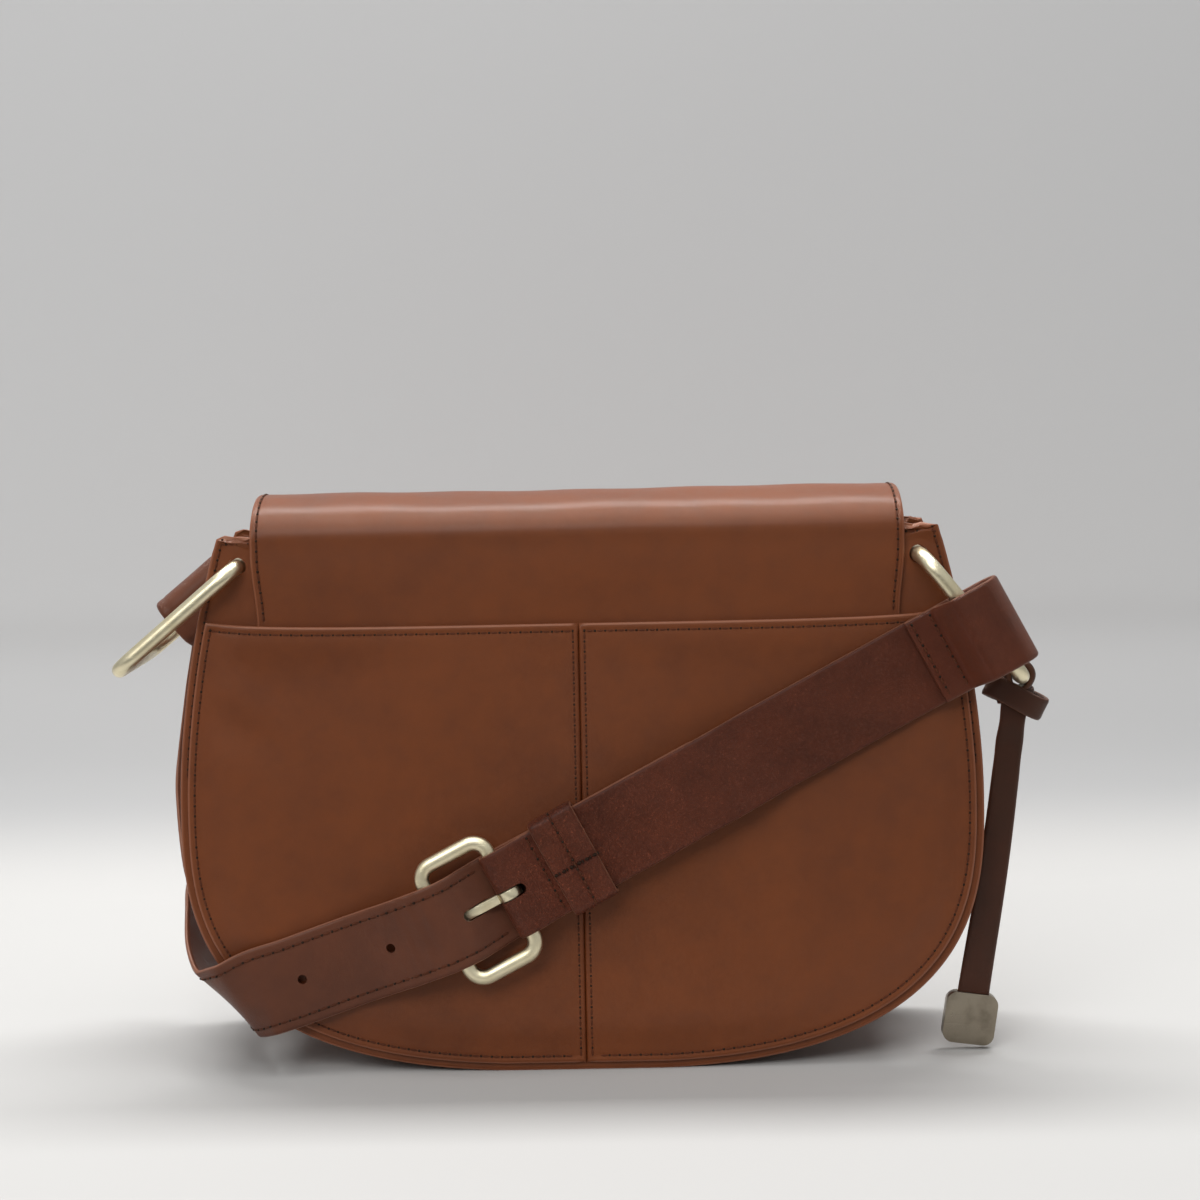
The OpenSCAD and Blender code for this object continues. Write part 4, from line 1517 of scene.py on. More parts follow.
@dataclass
class RingLoops:
    """Folded loops of the strap that hold the rings."""

    wire_r: float = 2.8
    gap: float = 2.1
    slack: float = 5.4
    tail_fall: float = 9.0
    right_tail: float = 10.0
    left_tail: float = 2.0
    ply_step: float = 2.35
    bar_u: float = 193.088
    bar_n: float = 7.4

    @property
    def radius(self) -> float:
        """Radius of the fold on the leather's middle."""
        return self.wire_r + self.gap + ROUTE.thickness / 2

    def path(self, tail: float) -> Array:
        """Lays out a loop round a wire at the origin.

        Args:
            tail: Length of the sewn tail.

        Returns:
            Flat points, from the main ply's end to the tail's end.
        """
        r, start = self.radius, self.wire_r + self.gap
        arc = np.radians(np.linspace(-90, 90, 31))
        fold = np.stack([self.slack + r * np.cos(arc), r * np.sin(arc)], axis=1)
        flat = np.stack([np.linspace(self.slack, -start, 8), np.full(8, r)], axis=1)[1:-1]
        t = np.linspace(0, 1, 20)
        fall = np.stack([-start - self.tail_fall * t, glide(r, self.ply_step - r, t)], axis=1)
        end = np.array([[-start - self.tail_fall - tail, self.ply_step - r]])
        return np.concatenate([fold, flat, fall, end])


LOOPS = RingLoops()


@dataclass
class BuckleEnd:
    """Fixed part of the strap: folded round the heel bar and round the right ring."""

    tab_l: float = 30.0
    slot_w: float = 4.2
    slot_l: float = 18.0
    slot_end: float = 6.4
    stitch_in: float = 3.4
    tail_rows: tuple[float, float] = (2.0, 9.4)
    tab_row: float = 14.6
    waves: tuple = (Wave(0.14, 13.0, 9.0), Wave(0.10, 5.1, -4.0))

    def path(self) -> Array:
        """Middle line as places along the strap and heights, from the tab's end.

        Returns:
            The points.
        """
        tab = np.arange(self.tab_l, 0.7, -1.5)
        mid = (ROUTE.tab_heel + ROUTE.main_heel) / 2
        half = (ROUTE.tab_heel - ROUTE.main_heel) / 2
        turn = np.radians(np.linspace(90, 270, 25))
        main = np.r_[np.arange(1.5, 118, 1.6), np.arange(118, LOOPS.bar_u - 4, 2.4)]
        loop = LOOPS.path(LOOPS.right_tail) + [LOOPS.bar_u, LOOPS.bar_n]
        return np.concatenate([
            np.stack([tab, ROUTE.tab_n(tab)], axis=1),
            np.stack([half * np.cos(turn), mid + half * np.sin(turn)], axis=1),
            np.stack([main, ROUTE.main_n(main)], axis=1),
            [[LOOPS.bar_u - LOOPS.wire_r, ROUTE.lie]], loop])

    def relief(self, run: Array, place: Array) -> Array:
        """Slow waves in the leather."""
        return sum(wave.at(run, place) for wave in self.waves) - 0.12

    def build(self, leather: Material) -> None:
        """Makes and dresses the fixed part.

        Args:
            leather: Pebbled leather.
        """
        u, n = resample(self.path(), 1.3).T
        piece = ribbon("strap_buckle_end_leather", ROUTE.at(u, n), -ROUTE.axes[1], ROUTE.width,
                       ROUTE.thickness, self.relief)
        cut(piece, [slot_tool(self.slot_end - self.slot_l / 2, self.slot_l, self.slot_w)], 50)
        dress(piece, Body.BAG, Slot.STRAP, [leather], ["strap_buckle_end"])

    def stitches(self) -> Lines:
        """Rows across the strap: at the ring loop's tail and at the buckle's tab.

        Returns:
            Points of each row.
        """
        half = ROUTE.width / 2 - self.stitch_in
        v = np.linspace(-half, half, 14)
        tail = self.path()[-len(LOOPS.path(LOOPS.right_tail)) // 2:]
        places, heights = tail[np.argsort(tail[:, 0])].T
        rows = []
        for step in self.tail_rows:
            u = places[0] + step
            rows.append(ROUTE.at(u, np.interp(u, places, heights) + ROUTE.thickness / 2 + 0.02,
                                 v))
        return rows + [ROUTE.at(self.tab_row, ROUTE.tab_n(self.tab_row)
                                + ROUTE.thickness / 2 + 0.06, v)]


def spline(a: Array, b: Array, c: Array, d: Array, t: Array) -> Array:
    """Smooth curve from b to c, as t goes from 0 to 1."""
    return (2 * b + (c - a) * t + (2 * a - 5 * b + 4 * c - d) * t * t
            + (3 * b - 3 * c + d - a) * t * t * t) / 2


@dataclass
class PunchedEnd:
    """Punched part of the strap: through the buckle, round the bag and up to the left ring."""

    hole_r: float = 1.7
    hole_pitch: float = 34.0
    prong_u: float = -13.0
    prong_slot: float = 11.0
    prong_w: float = 4.2
    wrap_a: float = 52.0
    wrap_out: float = 9.0
    wrap_skew: float = 30.0
    loop_turn: float = 40.0
    loop_x: float = -144.349
    loop_y: float = 35.336
    loop_z: float = 165.302
    stitch_in: float = 3.5
    buckle_crease: float = -38.0
    creases: tuple = (Wave(0.20, 1 / 1.15, 10.0), Wave(0.12, 1 / 2.1, -1 / 0.22, 1.0))
    wave: Wave = Wave(0.12, 11.0, 7.0)

    def back_station(self, u: float) -> tuple[Array, Array]:
        """Finds the strap's section at a place on the back.

        Args:
            u: The place along the strap.

        Returns:
            The section's centre and its direction across.
        """
        along, across, away = ROUTE.axes
        rise, slope = ROUTE.bend(u)
        return (ROUTE.origin + along * u + across * float(rise)
                + away * float(ROUTE.punched_n(u)), unit(across + along * float(slope)))

    def edge_at(self, a: float) -> Array:
        """Point of the panels' outline at an angle from the foot, on the left."""
        x, z = FORM.corner(0, math.radians(a))
        return np.array([-x, 0, z])

    def edge_station(self, past: float, out: float, y: float, turn: float
                     ) -> tuple[Array, Array]:
        """Lays the strap round the panels' edge.

        Args:
            past: Angle past the place where it leaves the back, in degrees.
            out: Distance outside the edge.
            y: Depth.
            turn: How far the strap has turned from lying on the back, in degrees.

        Returns:
            Its centre and the direction across it.
        """
        a = self.wrap_a + past
        t = unit(self.edge_at(a + 1) - self.edge_at(a - 1))
        g = np.array([-t[2], 0, t[0]])
        skew, turned = math.radians(self.wrap_skew), math.radians(turn)
        wide = t * math.cos(skew) - (g * math.cos(turned)
                                     + np.array([0, math.sin(turned), 0])) * math.sin(skew)
        centre = self.edge_at(a) + g * out + np.array([0, y, 0])
        return centre, wide + np.array([0, FORM.lean * wide[2] * math.cos(turned), 0])

    def stations(self, way: Array, wide: Array) -> tuple[Array, Array]:
        """Lays out the strap from the buckle to the left loop.

        Args:
            way: Direction along the strap at the loop.
            wide: Direction across it there.

        Returns:
            Centres and directions across.
        """
        y = -float(FORM.face_y(self.edge_at(self.wrap_a)[2]))
        loop = np.array([self.loop_x, self.loop_y + LOOPS.radius, self.loop_z])
        half, depth, height, out = FORM.half_w, FORM.base_half, FORM.widest_z, self.wrap_out
        found = [self.back_station(u) for u in (-19, -25, -31, -42, -53, -64, -75, -86)]
        found += [
            self.edge_station(-1.5, -out * 0.7, y - ROUTE.pocket_n - ROUTE.lie - 0.9, 0),
            self.edge_station(1, out * 0.3, y - 2 * ROUTE.lie, 40),
            self.edge_station(3, out * 0.85, y * 0.8, 78),
            self.edge_station(8, out, y * 0.4, 90),
            self.edge_station(14, out, -y * 0.2, 90),
            self.edge_station(20, out, -y * 0.75, 90),
            (np.array([-half * 1.03, depth * 1.05, height * 0.84]), unit([-0.5, -0.62, 0.6])),
            (np.array([-half, depth * 1.18, height * 1.07]), unit([-0.86, -0.48, 0.12])),
            (np.array([-half * 0.965, depth * 1.14, height * 1.33]),
             unit([-0.93, -0.22, -0.28])),
            (loop - way * 2.6 * LOOPS.slack, wide), (loop - way * LOOPS.slack, wide),
            (loop + way * (LOOPS.slack + 0.3), wide)]
        return np.stack([f[0] for f in found]), np.stack([f[1] for f in found])

    def line(self) -> tuple[Array, Array]:
        """Whole middle line of the punched part and the direction across it.

        Returns:
            Both, point by point.
        """
        turn = math.radians(self.loop_turn)
        way = np.array([-math.sin(turn), 0, math.cos(turn)])
        centres, wides = self.stations(way, np.array([-math.cos(turn), 0, -math.sin(turn)]))
        u = np.arange(ROUTE.tip_l, -18.9, -1.5)
        points, across = [ROUTE.at(u, ROUTE.punched_n(u))], [np.tile(ROUTE.axes[1], (len(u), 1))]
        for i in range(len(centres) - 2):
            ends = np.clip(np.arange(i - 1, i + 3), 0, len(centres) - 1)
            t = np.linspace(0, 1, 9, endpoint=False)[int(i == 0):, None]
            points.append(spline(*centres[ends], t))
            across.append(spline(*wides[ends], t))
        loop = np.concatenate([[[-LOOPS.slack, -LOOPS.radius], [0, -LOOPS.radius]],
                               LOOPS.path(LOOPS.left_tail)])
        points.append(np.array([self.loop_x, self.loop_y, self.loop_z])
                      + loop[:, :1] * way + loop[:, 1:] * np.array([0, -1.0, 0]))
        across.append(np.tile(wides[-1], (len(loop), 1)))
        line, wide = np.concatenate(points), np.concatenate(across)
        dense, run = resample(line, 0.25), run_along(line)
        at = np.linspace(0, run[-1], len(dense))
        wide = np.stack([np.interp(at, run, wide[:, k]) for k in range(3)], axis=1)
        pick = np.unique(np.linspace(0, len(dense) - 1, int(run[-1] / 1.4)).astype(int))
        return dense[pick], unit(wide[pick])

    def relief(self, run: Array, place: Array) -> Array:
        """Shapes creases at the buckle, slow waves beyond it and dips along the stitching.

        Args:
            run: Distances from the strap's tip.
            place: Places across the strap.

        Returns:
            How far the outer face stands out.
        """
        u = ROUTE.tip_l - run
        crease = hump(u - self.buckle_crease, 16) * sum(w.at(u, place) for w in self.creases)
        row = np.abs(place) - (ROUTE.width / 2 - self.stitch_in)
        return crease + self.wave.at(run, place) - 0.1 - 0.18 * hump(row, GROOVE)

    def build(self, leather: Material) -> None:
        """Makes and dresses the punched part.

        Args:
            leather: Smooth leather.
        """
        middle, across = self.line()
        piece = ribbon("strap_punched_end_leather", middle, across, ROUTE.width,
                       ROUTE.thickness, self.relief)
        tools = [slot_tool(self.prong_u, self.prong_slot, self.prong_w)]
        for i in (-1, 1, 2):
            u = self.prong_u - i * self.hole_pitch
            tools.append(peg(ROUTE.at(u, 5.0, ROUTE.bend(u)[0]), ROUTE.axes[2], self.hole_r,
                             14, 24))
        cut(piece, tools, 50)
        dress(piece, Body.BAG, Slot.STRAP, [leather], ["strap_punched_end"])

    def stitches(self) -> Lines:
        """Rows along both edges of the strap, from the buckle to the left ring.

        Returns:
            Points of each row.
        """
        middle, across = self.line()
        lay = ribbon_frame(middle, across)
        keep = (ROUTE.tip_l - lay.run < -8) & (lay.run < lay.run[-1] - 40)
        rows = []
        for side in (-1, 1):
            place = side * (ROUTE.width / 2 - self.stitch_in)
            lift = ROUTE.thickness / 2 + self.relief(lay.run, place) + 0.08
            rows.append((middle + lay.across * place + lay.out * lift[:, None])[keep])
        return rows


@dataclass
class Buckle:
    """Heel-bar frame of rounded wire and its prong."""

    length: float = 26.0
    width: float = 44.0
    corner: float = 5.0
    wire_r: float = 2.7
    wire_flat: float = 0.82
    spread: float = 0.6

    def build(self, brass: Material) -> None:
        """Makes and dresses the frame and the prong.

        Args:
            brass: Metal of both.
        """
        flat = wire_path(self.length, self.width + 2 * self.spread,
                         self.corner + self.spread, 0.7)
        along, across, away = ROUTE.axes
        tilt = math.asin((ROUTE.heel_n - ROUTE.far_n) / self.length)
        arm = -math.cos(tilt) * along - math.sin(tilt) * away
        path = ROUTE.at(0, ROUTE.heel_n) + flat[:, :1] * arm + flat[:, 1:] * across
        dress(tube("buckle_frame_wire", path, np.cross(arm, across), self.wire_r, 24,
                   self.wire_flat), Body.BAG, Slot.BRASS, [brass], ["buckle_frame"])
        dress(bevelled("buckle_prong_wire", "buckle_prong", 0.5, 40), Body.PRONG, Slot.BRASS,
              [brass], ["buckle_prong"])


@dataclass
class Keeper:
    """Loose loop round the strap's plies, sewn across and closed with a butt seam."""

    u: float = 17.0
    length: float = 17.0
    thickness: float = 1.8
    half: float = 17.7
    low: float = 1.2
    high: float = 10.35
    corner: float = 1.7
    butt_v: float = -2.1

    def build(self, leather: Material) -> None:
        """Makes and dresses the keeper.

        Args:
            leather: Pebbled leather.
        """
        n, v = wire_path(self.high - self.low, 2 * self.half, self.corner, 0.8).T
        middle = ROUTE.at(self.u + self.length / 2, self.low + n, v)
        top = n > self.high - self.low - 0.1
        butt = run_along(middle)[top][np.argmin(np.abs(v[top] - self.butt_v))]

        def relief(run: Array, place: Array) -> Array:
            """Dips at the butt seam and along the row of stitches."""
            return (Wave(0.10, 6.0, 3.0).at(run, place) - 0.45 * hump(run - butt, 0.8)
                    - 0.20 * hump(place, 0.7) - 0.05)
        piece = ribbon("keeper_leather", middle, ROUTE.axes[0], self.length, self.thickness,
                       relief, wrapped=True)
        dress(piece, Body.KEEPER, Slot.STRAP, [leather], ["keeper"])

    def stitches(self) -> tuple[Lines, Lines]:
        """The row across the keeper's middle, and the sewn butt seam along it.

        Returns:
            Points of each row.
        """
        top = self.high + self.thickness / 2 + 0.06
        v = np.linspace(-self.half + 1, self.half - 1, 20)
        u = np.linspace(self.u + 0.8, self.u + self.length - 0.8, 20)
        return ([ROUTE.at(self.u + self.length / 2, top - 0.2, v)],
                [ROUTE.at(u, top - 0.28, self.butt_v)])


@dataclass
class Tag:
    """Leather thong that is knotted round the right ring, with a plain metal fob."""

    x: float = 158.771
    y: float = -22.036
    z: float = 139.003
    lean: float = 8.0
    top_w: float = 9.0
    foot_w: float = 11.5
    thickness: float = 2.0
    length: float = 128.0
    eye_r: float = 4.3
    eye_w: float = 7.6
    eye_t: float = 2.4
    knot_half: float = 10.3
    knot_depth: float = 4.0
    knot_drop: float = 8.0
    knot_power: float = 0.95

    def turned(self, points: Array) -> Array:
        """Directions of the tag's own frame in the frame of the bag."""
        c, s = math.cos(math.radians(self.lean)), math.sin(math.radians(self.lean))
        return np.asarray(points, float) @ np.array([[c, 0, -s], [0, 1, 0], [s, 0, c]])

    def place(self, points: Array) -> Array:
        """Points of the tag's own frame in the frame of the bag."""
        return self.turned(points) + [self.x, self.y, self.z]

    def strip(self) -> Piece:
        """The hanging strip, a little bowed and wrinkled under the knot.

        Returns:
            The object.
        """
        z = np.arange(-self.knot_drop + 3, -self.length - 0.01, -1.3)
        part = np.clip((z + self.knot_drop) / (self.knot_drop - self.length), 0, 1)
        wave = 0.45 * np.sin((z + 10) / 4.2) * hump(z + 14, 12)
        middle = np.stack([0.9 * np.sin(np.pi * part) ** 2, wave, z], axis=1)
        width = self.top_w + (self.foot_w - self.top_w) * part
        width = width + 0.35 * np.sin(z / 2.3) * hump(z + 16, 14)

        def relief(run: Array, place: Array) -> Array:
            """Wrinkles under the knot."""
            return Wave(0.16, 1.9, 2.0).at(run, place) * hump(run - 9, 9) - 0.05
        return ribbon("tag_strip", self.place(middle), self.turned([1, 0, 0]), width,
                      self.thickness, relief, crown=0.15)

    def band(self, name: str, tilt: float, half: float, depth: float, drop: float,
             width: float) -> Piece:
        """Makes one turn of the knot round the strip.

        Args:
            name: Name of the part.
            tilt: How far it slopes, in degrees.
            half: Half of its length across the strip.
            depth: Half of its length through the strip.
            drop: Distance under the ring's wire.
            width: Width of the band.

        Returns:
            The part.
        """
        turn = np.linspace(0, 2 * np.pi, 61)[:-1]
        x, y = (reach * np.sign(way) * np.abs(way) ** self.knot_power
                for reach, way in ((half, np.cos(turn)), (depth, np.sin(turn))))
        a = math.radians(tilt)
        middle = np.stack([x, y, 0.5 * np.sin(2 * turn) - drop - math.tan(a) * x], axis=1)

        def relief(run: Array, place: Array) -> Array:
            """A fold along the band."""
            return 0.22 * np.sin(place * 1.5 + run * 0.2) - 0.05
        return ribbon(name, self.place(middle), self.turned([math.sin(a), 0, math.cos(a)]),
                      width, self.thickness * 0.9, relief, wrapped=True, crown=0.9)

    def eye(self) -> Piece:
        """The loop round the ring's wire, drawn down into the knot.

        Returns:
            The object.
        """
        turn = np.radians(np.linspace(-90, 270, 61)[:-1])
        low = np.sin(turn) < 0
        x = self.eye_r * np.cos(turn) * np.where(low, 1 + 0.15 * np.sin(turn), 1)
        z = self.eye_r * np.sin(turn) * np.where(low, 1.35, 1)
        middle = self.place(np.stack([x, np.zeros(60), z], axis=1))
        return ribbon("tag_eye", middle, np.array([0, 1.0, 0]), self.eye_w, self.eye_t,
                      wrapped=True, crown=0.3)

    def build(self, leather: Material, nickel: Material) -> None:
        """Makes and dresses thong and fob.

        Args:
            leather: Leather of the thong.
            nickel: Metal of the fob.
        """
        parts = [self.strip(), self.eye(),
                 self.band("tag_turn_front", 18, self.knot_half, self.knot_depth,
                           self.knot_drop + 0.2, 8.0),
                 self.band("tag_turn_back", -6, self.knot_half * 0.55, self.knot_depth - 1.4,
                           self.knot_drop - 0.2, 6.0)]
        dress(join("tag_thong_leather", parts), Body.TAG, Slot.STRAP, [leather], ["tag_thong"])
        dress(bevelled("tag_fob_metal", "tag_fob", 0.9, 40), Body.TAG, Slot.NICKEL, [nickel],
              ["tag_fob"])


# ---- Node trees

FLOAT, COLOUR, VECTOR = "NodeSocketFloat", "NodeSocketColor", "NodeSocketVector"
GREY = (0.5, 0.5, 0.5, 1.0)


class Net:
    """Adds and links nodes in a tree."""

    def __init__(self, tree: bpy.types.NodeTree) -> None:
        """Keeps the tree."""
        self.tree = tree

    def add(self, kind: str, inputs: Optional[dict] = None, **settings: object
            ) -> bpy.types.Node:
        """Adds a node.

        Args:
            kind: The node's type.
            inputs: A value, or a socket to link, for each named or numbered input.
            settings: The node's own settings.

        Returns:
            The node.
        """
        node = self.tree.nodes.new(kind)
        for key, value in settings.items():
            setattr(node, key, value)
        for key, value in (inputs or {}).items():
            if isinstance(value, Socket):
                self.tree.links.new(value, node.inputs[key])
            else:
                node.inputs[key].default_value = value
        return node

    def place(self) -> Socket:
        """Object coordinates."""
        return self.add("ShaderNodeTexCoord").outputs["Object"]

    def noise(self, place: Socket, scale: float, detail: float, roughness: float = 0.5
              ) -> bpy.types.Node:
        """Adds noise at a scale in waves a metre, and returns its node."""
        return self.add("ShaderNodeTexNoise", {"Vector": place, "Scale": scale,
                                               "Detail": detail, "Roughness": roughness})

    def mix(self, factor: object, first: object, second: object) -> Socket:
        """Mixes two colours.

        Args:
            factor: Share of the second, as a value or a socket.
            first: One colour, as a value or a socket.
            second: The other.

        Returns:
            The result's socket.
        """
        node = self.add("ShaderNodeMix", {0: factor}, data_type="RGBA")
        for index, value in ((6, first), (7, second)):
            if isinstance(value, Socket):
                self.tree.links.new(value, node.inputs[index])
            else:
                node.inputs[index].default_value = value
        return node.outputs[2]

    def math(self, operation: str, first: object, second: object = 0.0,
             third: object = 0.0) -> Socket:
        """Adds a sum and returns its result's socket."""
        return self.add("ShaderNodeMath", {0: first, 1: second, 2: third},
                        operation=operation).outputs[0]

    def band(self, value: object, low: float, high: float, to_low: float = 0.0,
             to_high: float = 1.0) -> Socket:
        """Smoothly maps a range to another one and returns the result's socket."""
        return self.add("ShaderNodeMapRange", {0: value, 1: low, 2: high, 3: to_low,
                                               4: to_high},
                        interpolation_type="SMOOTHSTEP").outputs[0]

    def put_out(self, colour: Socket, roughness: Socket, height: Socket,
                strength: float, distance: object) -> None:
        """Ends a surface group.

        Args:
            colour: Its colour.
            roughness: Its roughness.
            height: Height of its relief.
            strength: How strongly the relief shows.
            distance: Real height of the relief, in metres.
        """
        bump = self.add("ShaderNodeBump", {"Height": height, "Strength": strength,
                                           "Distance": distance})
        self.add("NodeGroupOutput", {"Color": colour, "Roughness": roughness,
                                     "Normal": bump.outputs["Normal"]})


# ---- Stitching


@cache
def stitch_tree() -> bpy.types.NodeTree:
    """The node tree that sets a stitch and a near-black blob, painted shade of its hole, at
    every step of a row.

    Returns:
        The tree.
    """
    tree = bpy.data.node_groups.new("Stitch Row", "GeometryNodeTree")
    for name, kind in (("Rows", "NodeSocketGeometry"), ("Pitch", FLOAT),
                       ("Stitch Length", FLOAT), ("Thread Thickness", FLOAT),
                       ("Seed", "NodeSocketInt"), ("Thread", "NodeSocketMaterial")):
        tree.interface.new_socket(name, in_out="INPUT", socket_type=kind)
    tree.interface.new_socket("Stitches", in_out="OUTPUT", socket_type="NodeSocketGeometry")
    net = Net(tree)
    given = net.add("NodeGroupInput").outputs
    steps = net.add("GeometryNodeResampleCurve", {"Curve": given["Rows"],
                                                  "Length": given["Pitch"]}, mode="LENGTH")
    tangent = net.add("GeometryNodeInputTangent")
    turned = net.add("FunctionNodeAlignRotationToVector",
                     {"Vector": tangent.outputs["Tangent"]}, axis="Z")
    change = net.add("FunctionNodeRandomValue", {"Seed": given["Seed"], 0: (0.92, 0.92, 0.93),
                                                 1: (1.08, 1.08, 1.04)},
                     data_type="FLOAT_VECTOR")
    size = net.add("ShaderNodeCombineXYZ", {"X": given["Thread Thickness"],
                                            "Y": given["Thread Thickness"],
                                            "Z": given["Stitch Length"]})
    scale = net.add("ShaderNodeVectorMath", {0: size.outputs[0], 1: change.outputs[0]},
                    operation="MULTIPLY")
    bead = net.add("GeometryNodeMeshUVSphere", {"Segments": 8, "Rings": 6, "Radius": 0.5})
    hole = net.add("GeometryNodeMeshUVSphere", {"Segments": 6, "Rings": 4, "Radius": 0.5})
    # The blob after each stitch gets paint 1, so it takes the thread's near-black edge colour:
    # painted shade of the stitch hole.
    painted_hole_shade = net.add("GeometryNodeStoreNamedAttribute", {"Geometry": hole.outputs["Mesh"],
                   "Name": "paint", "Value": 1.0}, data_type="FLOAT", domain="POINT")
    half_step = net.math("MULTIPLY", net.math("DIVIDE", given["Pitch"],
                                              given["Stitch Length"]), 0.5)
    gap = net.add("ShaderNodeCombineXYZ", {"Z": half_step})
    moved = net.add("GeometryNodeTransform", {"Geometry": painted_hole_shade.outputs["Geometry"],
                    "Translation": gap.outputs[0], "Scale": (1.1, 1.1, 0.42)})
    pair = net.add("GeometryNodeJoinGeometry")
    for part in (bead.outputs["Mesh"], moved.outputs["Geometry"]):
        tree.links.new(part, pair.inputs[0])
    placed = net.add("GeometryNodeInstanceOnPoints", {
        "Points": steps.outputs["Curve"], "Instance": pair.outputs[0],
        "Rotation": turned.outputs["Rotation"], "Scale": scale.outputs[0]})
    real = net.add("GeometryNodeRealizeInstances", {"Geometry": placed.outputs[0]})
    smooth = net.add("GeometryNodeSetShadeSmooth", {"Geometry": real.outputs[0]})
    dyed = net.add("GeometryNodeSetMaterial", {"Geometry": smooth.outputs[0],
                                               "Material": given["Thread"]})
    net.add("NodeGroupOutput", {"Stitches": dyed.outputs[0]})
    return tree


@dataclass
class Stitching:
    """Rows of thread stitches, made with geometry nodes along their lines."""

    pitch: float = 3.7
    length: float = 2.5
    thickness: float = 0.86
    seed: int = 7

    def rows(self, name: str, lines: Lines, thread: Material) -> Piece:
        """Makes one mesh of stitches along lines.

        Args:
            name: Name of the piece.
            lines: Points of each row, in millimetres.
            thread: Material of the thread.

        Returns:
            The object, a plain mesh.
        """
        curve = bpy.data.curves.new(name, "CURVE")
        curve.dimensions = "3D"
        for line in lines:
            row = curve.splines.new("POLY")
            row.points.add(len(line) - 1)
            row.points.foreach_set("co", np.c_[line * MM, np.ones(len(line))].ravel())
        source = new_object(name + "_rows", curve)
        modifier = source.modifiers.new("stitches", "NODES")
        modifier.node_group = stitch_tree()
        values = {"Pitch": self.pitch * MM, "Stitch Length": self.length * MM,
                  "Thread Thickness": self.thickness * MM, "Seed": self.seed,
                  "Thread": thread}
        for item in modifier.node_group.interface.items_tree:
            if item.item_type == "SOCKET" and item.name in values:
                modifier[item.identifier] = values[item.name]
        mesh = evaluated(source)
        mesh.name = name
        bpy.data.objects.remove(source, do_unlink=True)
        return new_object(name, mesh)


# ---- Finishes


def new_group(name: str, inputs: dict) -> tuple[bpy.types.NodeTree, Net, bpy.types.NodeOutputs]:
    """Starts a group that puts out a surface's colour, roughness and normal.

    Args:
        name: Name of the group.
        inputs: Value of each input: a number or a colour.

    Returns:
        The group, its net and the sockets of its inputs.
    """
    tree = bpy.data.node_groups.new(name, "ShaderNodeTree")
    for title, value in inputs.items():
        kind = COLOUR if isinstance(value, tuple) else FLOAT
        tree.interface.new_socket(title, in_out="INPUT", socket_type=kind).default_value = value
    for title, kind in (("Color", COLOUR), ("Roughness", FLOAT), ("Normal", VECTOR)):
        tree.interface.new_socket(title, in_out="OUTPUT", socket_type=kind)
    net = Net(tree)
    return tree, net, net.add("NodeGroupInput").outputs


@cache
def leather_group() -> bpy.types.NodeTree:
    """Grain, mottling, painted shade in the grain's creases, and painted edges of leather; on
    thread, painted shade of the stitch holes.

    Returns:
        The group.
    """
    tree, net, given = new_group("Leather Surface", {
        "Tone": GREY, "Deep": GREY, "Edge": GREY, "Grain Size": 0.8, "Grain Depth": 0.1,
        "Crease Shade": 0.3, "Mottle": 1.0, "Base Roughness": 0.5})
    place = net.place()
    warp = net.noise(place, 300.0, 2.0)
    moved = net.add("ShaderNodeVectorMath", {0: warp.outputs["Color"], 1: place, 2: place},
                    operation="MULTIPLY_ADD")
    cells = net.add("ShaderNodeTexVoronoi", {
        "Vector": moved.outputs[0], "Scale": net.math("DIVIDE", 1000.0, given["Grain Size"])},
        feature="DISTANCE_TO_EDGE").outputs["Distance"]
    crease = net.band(cells, 0.0, 0.16, 1.0, 0.0)
    fine = net.noise(place, 2600.0, 2.0).outputs[0]
    middle = net.noise(place, 95.0, 5.0, 0.62).outputs[0]
    large = net.noise(place, 13.0, 2.0).outputs[0]
    off_middle = net.math("SUBTRACT", middle, 0.5)
    spread = net.math("MULTIPLY_ADD", net.math("SUBTRACT", large, 0.5), 1.3, off_middle)
    factor = net.band(net.math("MULTIPLY_ADD", spread, given["Mottle"], 0.55), 0.0, 1.0)
    tone = net.mix(factor, given["Deep"], given["Tone"])
    # Painted shade: the grain's creases are mixed towards the deep colour.
    tone = net.mix(net.math("MULTIPLY", crease, given["Crease Shade"]), tone, given["Deep"])
    paint = net.add("ShaderNodeAttribute", attribute_name="paint").outputs["Fac"]
    # Edge colour where paint is set: real, unevenly worn edge paint on leather, and painted
    # shade on the stitch-hole blobs of thread.
    edge_paint_and_hole_shade = net.math("MULTIPLY", net.band(paint, 0.15, 0.85),
                    net.band(middle, 0.25, 0.55, 0.72, 1.0))
    tone = net.mix(edge_paint_and_hole_shade, tone, given["Edge"])
    rough = net.math("MULTIPLY_ADD", off_middle, 0.30, given["Base Roughness"])
    rough = net.math("MULTIPLY_ADD", crease, 0.12, rough)
    height = net.math("MULTIPLY_ADD", fine, 0.35, net.band(cells, 0.0, 0.36))
    height = net.math("MULTIPLY_ADD", middle, 1.2, height)
    height = net.math("MULTIPLY", height, net.band(paint, 0.3, 0.9, 1.0, 0.25))
    net.put_out(tone, rough, height, 1.0, net.math("MULTIPLY", given["Grain Depth"], MM))
    return tree


